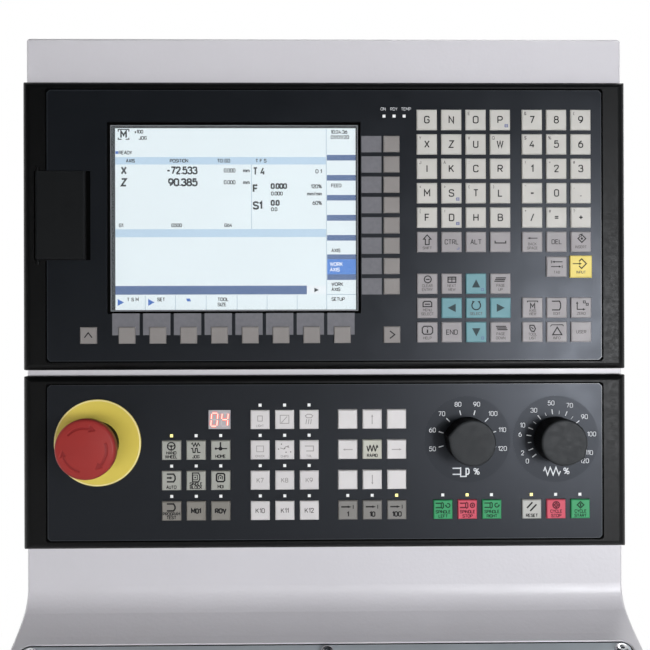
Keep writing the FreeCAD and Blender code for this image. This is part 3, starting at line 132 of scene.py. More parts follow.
class Finish:
    """A procedural material: one Principled shader with noise for its colour, gloss and relief."""

    def __init__(self, name, colour, roughness, metallic=0.0, specular=0.5):
        self.material = bpy.data.materials.new(name)
        self.material.use_nodes = True
        self.nodes = Shading(self.material.node_tree)
        self.shader = self.material.node_tree.nodes["Principled BSDF"]
        self.colour = colour
        self.roughness = roughness
        self.relief = None
        self.set(Base_Color=colour, Roughness=roughness, Metallic=metallic, Specular_IOR_Level=specular)

    def set(self, **values):
        """Sets or feeds the shader's own sockets."""
        for name, value in values.items():
            self.nodes.join(value, self.shader.inputs[name.replace("_", " ")])
        return self

    def noise(self, scale, detail, stretch=EVEN):
        """Noise in the object's own millimetres: scale is features per millimetre."""
        place = self.nodes.node("Mapping", {"Vector": self.nodes.node("TexCoord", {})["Object"],
                                            "Scale": [scale * part / MM for part in stretch or EVEN]})
        return self.nodes.node("TexNoise", {"Vector": place["Vector"], "Scale": 1.0, "Detail": detail})["Fac"]

    def cloud(self, scale, share):
        """Lets the colour drift lighter and darker by a share of itself."""
        dark = [part * (1.0 - share) for part in self.colour[:3]] + [1.0]
        light = [min(1.0, part * (1.0 + share)) for part in self.colour[:3]] + [1.0]
        factor = self.nodes.spread(self.noise(scale, 3.0), *NOISE_RANGE, 0.0, 1.0)
        mixed = self.nodes.node("Mix", {"A": dark, "B": light, "Factor": factor}, data_type="RGBA")
        return self.set(Base_Color=mixed["Result"])

    def gloss(self, scale, spread, *stretch):
        """Lets the roughness drift up and down by a spread."""
        return self.set(Roughness=self.nodes.spread(
            self.noise(scale, 2.0, stretch), *NOISE_RANGE, self.roughness - spread, self.roughness + spread))

    def grain(self, scale, depth, *stretch):
        """Raises a fine relief, its depth in millimetres."""
        inputs = {"Strength": 1.0, "Distance": depth * MM, "Height": self.noise(scale, 2.0, stretch)}
        if self.relief:
            inputs["Normal"] = self.relief
        self.relief = self.nodes.node("Bump", inputs)["Normal"]
        return self.set(Normal=self.relief)

    def glow(self, red, green, blue, strength):
        """Lets the surface give light of its own."""
        return self.set(Emission_Color=tone(red, green, blue), Emission_Strength=strength)


# Each finish: its name, its colour as display values, its roughness, metallic and specular shares, and
# its steps with their sizes. A family stands for all but the name and the colour.
FAMILIES = {"cap": ".42 0 .35 cloud .09,.035 gloss .15,.08 grain 4,.004",
            "ink": ".55 0 .25 cloud .4,.06 grain 6,.002"}
FINISHES = """
housing_paint 208,206,211 .36 0 .8 cloud .012,.02 gloss .06,.05 grain .42,.12 grain 3,.006
black_rubber 30,30,31 .8 0 .3 cloud .2,.12 grain 2,.02
desk_steel 192,200,206 .42 .25 .5 cloud .02,.05 gloss 1.5,.08,.04,1,1 grain 3,.006,.04,1,1
zinc_steel 190,192,196 .38 .9 .5 cloud .02,.05 gloss 1.5,.08,1,1,.06 grain 3,.006,1,1,.06
chrome_screw 215,216,218 .16 1 .5 cloud .8,.04 gloss 2,.06 grain 3,.004
dark_pin 24,24,25 .45 .6 .5 cloud .5,.1 grain 3,.004
frame_plastic 5,5,5 .44 0 .33 cloud .03,.1 gloss .4,.05 grain 1.6,.03 grain 5,.008
overlay_film 18,20,23 .34 0 .5 cloud .008,.05 gloss .05,.03 grain 3,.004
flap_face 18,19,20 .36 0 .5 cloud .03,.1 gloss .4,.05 grain 2,.02,1,1,.1
joint_black 4,4,4 .9 0 .05 cloud .4,.1 grain 4,.004
edge_light 48,52,58 .3 0 .8 cloud .1,.05 grain 3,.003
rim_grey 128,130,134 .4 0 .5 cloud .1,.05 grain 3,.004
screen_glass 235,245,250 .06 0 .5 gloss .03,.02 grain .1,.002
screen_image 12,13,15 .35 0 .5 cloud .05,.08 grain 2,.004
circuit_board 22,88,48 .42 0 .5 cloud .1,.15 grain 1,.01
light_pipe 225,226,226 .35 0 .5 cloud .5,.03 grain 3,.004 glow 225,226,226,.15
led_yellow 255,244,160 .4 0 .5 cloud .5,.03 glow 255,240,140,.55
segment_on 250,200,190 .4 0 .5 cloud .5,.05 glow 255,205,190,.7
segment_halo 225,110,100 .4 0 .5 cloud .5,.05 glow 240,100,90,.35
segment_off 196,190,192 ink
display_face 176,172,176 .4 0 .5 cloud .5,.04 grain 3,.003
yellow_plastic 218,198,88 .45 0 .5 cloud .06,.03 gloss .2,.06 grain 3,.006
disc_edge 236,222,158 .4 0 .5 cloud .1,.03 grain 3,.004
red_plastic 152,50,47 .42 0 .3 cloud .08,.03 gloss .3,.05 grain 3,.006
red_groove 134,40,40 .42 0 .3 cloud .2,.04 grain 3,.006
black_plastic 7,7,8 .65 0 .12 cloud .2,.1 grain 2.5,.006
switch_plastic 58,58,60 .5 0 .4 cloud .05,.05 gloss .3,.06 grain 2.5,.012
knob_plastic 42,44,46 .5 0 .3 cloud .05,.05 gloss .3,.06 grain 2.5,.012
knob_side 8,8,9 .6 0 .2 cloud .1,.1 grain 2.5,.01
ink_dial 20,22,25 .38 0 .42 cloud .1,.06 grain 3,.006
ink_dark 24,24,26 ink
ink_grey 90,86,86 ink
ink_pale 150,146,145 ink
ink_blue 96,104,150 ink
ink_teal 52,66,70 ink
ink_white 215,217,220 ink
ink_black 20,20,21 ink
ink_field 112,112,117 ink
ink_spindle_left_key 16,62,40 ink
ink_spindle_right_key 16,62,40 ink
ink_spindle_stop_key 92,24,40 ink
ink_cycle_start_key 16,62,40 ink
ink_cycle_stop_key 92,24,40 ink
key_mode 165,166,159 cap
key_light 214,211,211 cap
key_step 132,130,127 cap
key_green 58,152,100 cap
key_red 206,84,102 cap
key_reset 182,182,178 cap
cap_program_test_key 133,130,124 cap
cap_optional_stop_key 133,130,124 cap
cap_rapid_override_key 133,130,124 cap
cap_rapid_key 192,192,181 cap
cap_letter 192,190,185 cap
cap_grey 152,148,150 cap
cap_yellow 226,206,112 cap
cap_cyan 106,150,158 cap
cap_soft 136,132,130 cap
cap_custom 209,206,206 cap
"""
BLUISH = (0.84, 0.89, 1.0, 1.0)  # the tint of the films' gloss
GLASS_SHARE = 0.06  # how much of the screen's window is seen

FINISH = {}
for row in FINISHES.strip().splitlines():
    name, colour, *rest = row.split()
    rest = FAMILIES[rest[0]].split() if rest[0] in FAMILIES else rest
    made = Finish(name, tone(*numbers(colour)), *(float(part) for part in rest[:3]))
    for kind, sizes in zip(rest[3::2], rest[4::2]):
        getattr(made, kind)(*numbers(sizes))
    FINISH[name] = made
for name in ("overlay_film", "ink_dial"):
    FINISH[name].set(Specular_Tint=BLUISH)
FINISH["screen_glass"].set(Alpha=GLASS_SHARE)


# Meshes


def piece(name, vertices, faces, finish, body, face_finishes=None):
    """A new piece that rides on a body, from vertices in metres."""
    mesh = bpy.data.meshes.new(name)
    mesh.from_pydata(vertices, [], faces)
    mesh.validate()
    made = bpy.data.objects.new(name, mesh)
    bpy.context.scene.collection.objects.link(made)
    finishes = finish if isinstance(finish, list) else [finish]
    for each in finishes:
        mesh.materials.append(each.material)
    if face_finishes:
        mesh.polygons.foreach_set("material_index", face_finishes)
    mesh.update()
    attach(made, body)
    return made


def soften(made, degrees=35.0):
    """Smooth shading that stays crisp where faces meet at more than an angle."""
    made.data.shade_smooth()
    made.data.set_sharp_from_angle(angle=math.radians(degrees))


def ring_quads(rings, steps, closed=False, start=0):
    """The quads from each ring of points to the next, and if closed, from the last one to the first."""
    quads = []
    for ring in range(rings if closed else rings - 1):
        low, high = start + ring * steps, start + (ring + 1) % rings * steps
        for step in range(steps):
            after = (step + 1) % steps
            quads.append((low + step, low + after, high + after, high + step))
    return quads


def around(steps):
    """The angles of even steps round a circle."""
    return [2 * math.pi * step / steps for step in range(steps)]


class Print:
    """Flat marks on a surface that faces the operator, gathered into one thin closed mesh."""

    def __init__(self, bold=1.0, x=0.0, z=0.0):
        self.bold = bold  # how much wider than drawn its lines are
        self.points = []
        self.faces = []
        self.x, self.z = x, z  # where the marks that follow are measured from
        self.shapes = 0

    def flat(self, points, faces):
        """Adds a shape, a hair higher or lower than the last ones so that crossing lines don't coincide."""
        start = len(self.points)
        self.shapes += 1
        lift = self.shapes % 5 * HAIR
        self.points += [(self.x + x, self.z + z, lift) for x, z in points]
        self.faces += [[start + corner for corner in face] for face in faces]

    def fill(self, points):
        """A filled outline."""
        area = sum(a[0] * b[1] - b[0] * a[1] for a, b in zip(points, points[1:] + points[:1]))
        ordered = points if area > 0 else points[::-1]
        self.flat(list(ordered), [list(range(len(points)))])

    def box(self, left, right, low, high):
        self.fill([(left, low), (right, low), (right, high), (left, high)])

    def line(self, points, width, closed=False):
        """A line of an even width, mitred at its corners."""
        count = len(points)
        lefts, rights = [], []
        for number, point in enumerate(points):
            before = points[number - 1] if number or closed else None
            after = points[(number + 1) % count] if number < count - 1 or closed else None
            ways = []
            for start, end in ((before, point), (point, after)):
                if start and end:
                    way = Vector((end[0] - start[0], end[1] - start[1])).normalized()
                    ways.append(Vector((-way.y, way.x)))
            side = sum(ways, Vector((0.0, 0.0))).normalized()
            reach = self.bold * width / 2 / max(0.35, side.dot(ways[0]))
            lefts.append((point[0] + side.x * reach, point[1] + side.y * reach))
            rights.append((point[0] - side.x * reach, point[1] - side.y * reach))
        faces = []
        for number in range(count if closed else count - 1):
            after = (number + 1) % count
            faces.append([number, count + number, count + after, after])
        self.flat(lefts + rights, faces)

    def arc(self, x, z, radius, width, start=0.0, end=360.0, steps=24):
        """A round line, or part of one, in degrees round from +x."""
        closed = abs(end - start) >= 360.0
        count = int(steps) if closed else int(steps) + 1
        turns = [math.radians(start + (end - start) * n / steps) for n in range(count)]
        self.line([(x + radius * math.cos(t), z + radius * math.sin(t)) for t in turns], width, closed)

    def disc(self, x, z, radius, steps=20):
        self.fill([(x + radius * math.cos(t), z + radius * math.sin(t)) for t in around(int(steps))])

    def text(self, words, x, z, height, weight=0.13, fit=None, align="CENTER"):
        """Words with their capitals' middle at z, narrowed to a width to fit. Weight is the stroke's share."""
        strokes, width = lettering(words)
        unit = height / 6.0
        narrow = min(1.0, fit / (width * unit)) if fit and width else 1.0
        left = x - width * unit * narrow * {"LEFT": 0.0, "CENTER": 0.5, "RIGHT": 1.0}[align]
        for points, closed in strokes:
            placed = [(left + u * unit * narrow, z + (v - 3.0) * unit) for u, v in points]
            self.line(placed, height * weight * max(0.75, narrow), closed)

    def make(self, name, finish, body, front, thick=INK):
        """The closed mesh, its front a thickness ahead of the surface it is printed on."""
        edges = {}
        for face in self.faces:
            for start, end in zip(face, face[1:] + face[:1]):
                edges[(start, end)] = True
        rims = [edge for edge in edges if (edge[1], edge[0]) not in edges]
        count = len(self.points)
        vertices = [(x * MM, (y - lift) * MM, z * MM) for y in (front - thick, front + thick / 3)
                    for x, z, lift in self.points]
        faces = [list(face) for face in self.faces]
        faces += [[count + corner for corner in face[::-1]] for face in self.faces]
        faces += [[end, start, count + start, count + end] for start, end in rims]
        return piece(name, vertices, faces, finish, body)


# Lettering: a sign, its width and its strokes on a grid six units high. Strokes are parted by a bar.
# One that starts with ~ is rounded, and one that starts with o is rounded and closed.

SIGNS = """
A 4 0,0 2,6 4,0|.7,2 3.3,2
B 4 0,0 0,6|~0,6 3.8,6 3.8,3.2 0,3.2|~0,3.2 4.1,3.2 4.1,0 0,0
C 4 ~4,4.4 4,6 0,6 0,3 0,0 4,0 4,1.6
D 4 0,0 0,6|~0,6 4.1,6 4.1,3 4.1,0 0,0
E 3.5 3.5,6 0,6 0,0 3.5,0|0,3.1 3,3.1
F 3.5 3.5,6 0,6 0,0|0,3.1 3,3.1
G 4.1 ~4,4.4 4,6 0,6 0,3 0,0 4.1,0 4.1,2.9|2.2,2.9 4.1,2.9
H 4 0,0 0,6|4,0 4,6|0,3.1 4,3.1
I 0 0,0 0,6
J 3 ~3,6 3,2.5 3,0 0,0 0,1.7
K 4 0,0 0,6|3.8,6 0,2.2|1.4,3.5 4,0
L 3.4 0,6 0,0 3.4,0
M 4.8 0,0 0,6 2.4,2.2 4.8,6 4.8,0
N 4 0,0 0,6 4,0 4,6
O 4.4 o0,0 4.4,0 4.4,3 4.4,6 0,6 0,3
P 4 0,0 0,6|~0,6 4.1,6 4.1,2.6 0,2.6
Q 4.4 o0,0 4.4,0 4.4,3 4.4,6 0,6 0,3|2.6,1.6 4.5,-.4
R 4 0,0 0,6|~0,6 4,6 4,2.8 0,2.8|2,2.8 4,0
S 4 ~3.9,4.7 3.8,6 0,6 0,3.3 4.1,2.8 4.1,0 .1,0 0,1.4
T 4 0,6 4,6|2,6 2,0
U 4 ~0,6 0,2.4 0,0 4,0 4,2.4 4,6
V 4 0,6 2,0 4,6
W 5.4 0,6 1.3,0 2.7,5.6 4.1,0 5.4,6
X 4 0,6 4,0|4,6 0,0
Y 4 0,6 2,3 4,6|2,3 2,0
Z 4 0,6 4,6 0,0 4,0
0 3.7 o0,0 3.7,0 3.7,3 3.7,6 0,6 0,3
1 1.6 0,4.6 1.6,6 1.6,0
2 3.6 ~.1,4.4 .1,6 3.6,6 3.6,3.9 0,0|0,0 3.7,0
3 3.6 ~.1,4.7 .2,6 3.4,6 3.4,3.2 1.4,3.2|~1.4,3.2 3.7,3.2 3.7,0 .1,0 0,1.4
4 3.8 2.4,6 0,1.6 3.8,1.6|2.8,3.2 2.8,0
5 3.6 3.3,6 .5,6 .2,3.1|~.2,3.1 1,4 3.7,4.1 3.7,0 .1,0 0,1.3
6 3.7 o0,0 3.7,0 3.7,3.8 0,3.8|~0,1.9 .1,4 2.7,6
7 3.6 0,6 3.6,6 1.2,0
8 3.7 o.2,3.2 3.5,3.2 3.5,6 .2,6|o0,0 3.7,0 3.7,3.2 0,3.2
9 3.7 o0,2.2 3.7,2.2 3.7,6 0,6|~3.7,4.1 3.6,2 1,0
- 2.6 0,2.8 2.6,2.8
+ 3.4 0,3 3.4,3|1.7,4.7 1.7,1.3
= 3.4 0,3.8 3.4,3.8|0,2.2 3.4,2.2
/ 2.6 0,-.3 2.6,6.3
. .1 .05,-.1 .05,.6
, .6 .6,.6 0,-1.2
_ 3.4 0,5 3.4,5
% 5.4 o0,3.4 2.2,3.4 2.2,6 0,6|o3.2,0 5.4,0 5.4,2.6 3.2,2.6|4.5,6 .9,0
! 0 0,6 0,1.8|0,.7 0,0
? 3 ~0,5 0,6 3,6 3,4 1.5,3 1.5,1.8|1.5,.7 1.5,0
# 4 1,0 1.6,6|2.6,0 3.2,6|0,2 4,2|.2,4 4.2,4
$ 4 ~3.9,4.7 3.8,6 0,6 0,3.3 4.1,2.8 4.1,0 .1,0 0,1.4|2,7 2,-1
& 4 ~4,0 .6,4.4 .6,6 2.8,6 2.8,4.4 0,2.6 0,0 3.4,0 4,2.4
* 3 0,4 3,4|.6,5.4 2.4,2.6|.6,2.6 2.4,5.4
( 1.2 ~1.2,6.6 0,5 0,1 1.2,-.6
) 1.2 ~0,6.6 1.2,5 1.2,1 0,-.6
< 2.6 2.6,5 0,3 2.6,1
> 2.6 0,5 2.6,3 0,1
[ 1.2 1.2,6.6 0,6.6 0,-.6 1.2,-.6
: 0 0,4.4 0,3.7|0,.7 0,0
m 4.4 0,0 0,3.8|~0,2.6 0,3.8 2.2,3.8 2.2,2.6 2.2,0|~2.2,2.6 2.2,3.8 4.4,3.8 4.4,2.6 4.4,0
n 2.4 0,0 0,3.8|~0,2.6 0,3.8 2.4,3.8 2.4,2.6 2.4,0
i 0 0,0 0,3.8|0,5.2 0,5.9
x 2.6 0,0 2.6,3.8|2.6,0 0,3.8
"""
LETTER_GAP = 1.5  # between letters, in the grid's units
WORD_GAP = 1.6


def read_signs():
    """The signs as a table of (width, strokes), each stroke its kind and its points."""
    table = {" ": (WORD_GAP, [])}
    for line in SIGNS.strip().splitlines():
        sign, width, paths = line.split(" ", 2)
        strokes = []
        for path in paths.split("|"):
            points = [tuple(float(part) for part in point.split(",")) for point in path.lstrip("~o").split()]
            strokes.append((path[0], points))
        table[sign] = (float(width), strokes)
    return table


STROKES = read_signs()


def rounded(points, closed):
    """A path with its corners cut twice, which rounds them."""
    for _ in range(2):
        cut = [] if closed else [points[0]]
        pairs = list(zip(points, points[1:] + points[:1])) if closed else list(zip(points, points[1:]))
        for a, b in pairs:
            cut.append((0.75 * a[0] + 0.25 * b[0], 0.75 * a[1] + 0.25 * b[1]))
            cut.append((0.25 * a[0] + 0.75 * b[0], 0.25 * a[1] + 0.75 * b[1]))
        points = cut if closed else cut + [points[-1]]
    return points


def lettering(words):
    """The strokes of words, as (points, closed) on the grid, and how wide they are."""
    strokes, x = [], 0.0
    for sign in words:
        width, paths = STROKES[sign]
        for kind, points in paths:
            if kind in "~o":
                points = rounded(points, kind == "o")
            strokes.append(([(x + u, v) for u, v in points], kind == "o"))
        x += width + LETTER_GAP
    return strokes, x - LETTER_GAP


# Finishes of the CAD nodes

for subpart in frame["record"]["subparts"]:
    node = NODES[subpart["node"]]
    node.data.materials.clear()
    node.data.materials.append(FINISH[subpart["material_slot"]].material)
    soften(node)
for name, finish in (("tool_display", "display_face"), ("interface_flap", "flap_face"), ("flap_pins", "dark_pin"),
                     ("program_test_key", "cap_program_test_key"), ("optional_stop_key", "cap_optional_stop_key"),
                     ("rapid_override_key", "cap_rapid_override_key"), ("rapid_key", "cap_rapid_key")):
    NODES[name].data.materials[0] = FINISH[finish].material

# Legends. After "=" comes a legend's name, and then a line for each mark: its ink, its kind, its words if
# it has any, its places as x,z from the middle of the key, and its sizes in this order:
#   line, loop, wave: width. box: left, right, low, high. disc: radius, sides. say: z, height.
#   arc: radius, width, start, end, steps. arrow: width, the head's length and width.
#   text, left, right: height, stroke's share of it, widest. as: all marks of another legend.

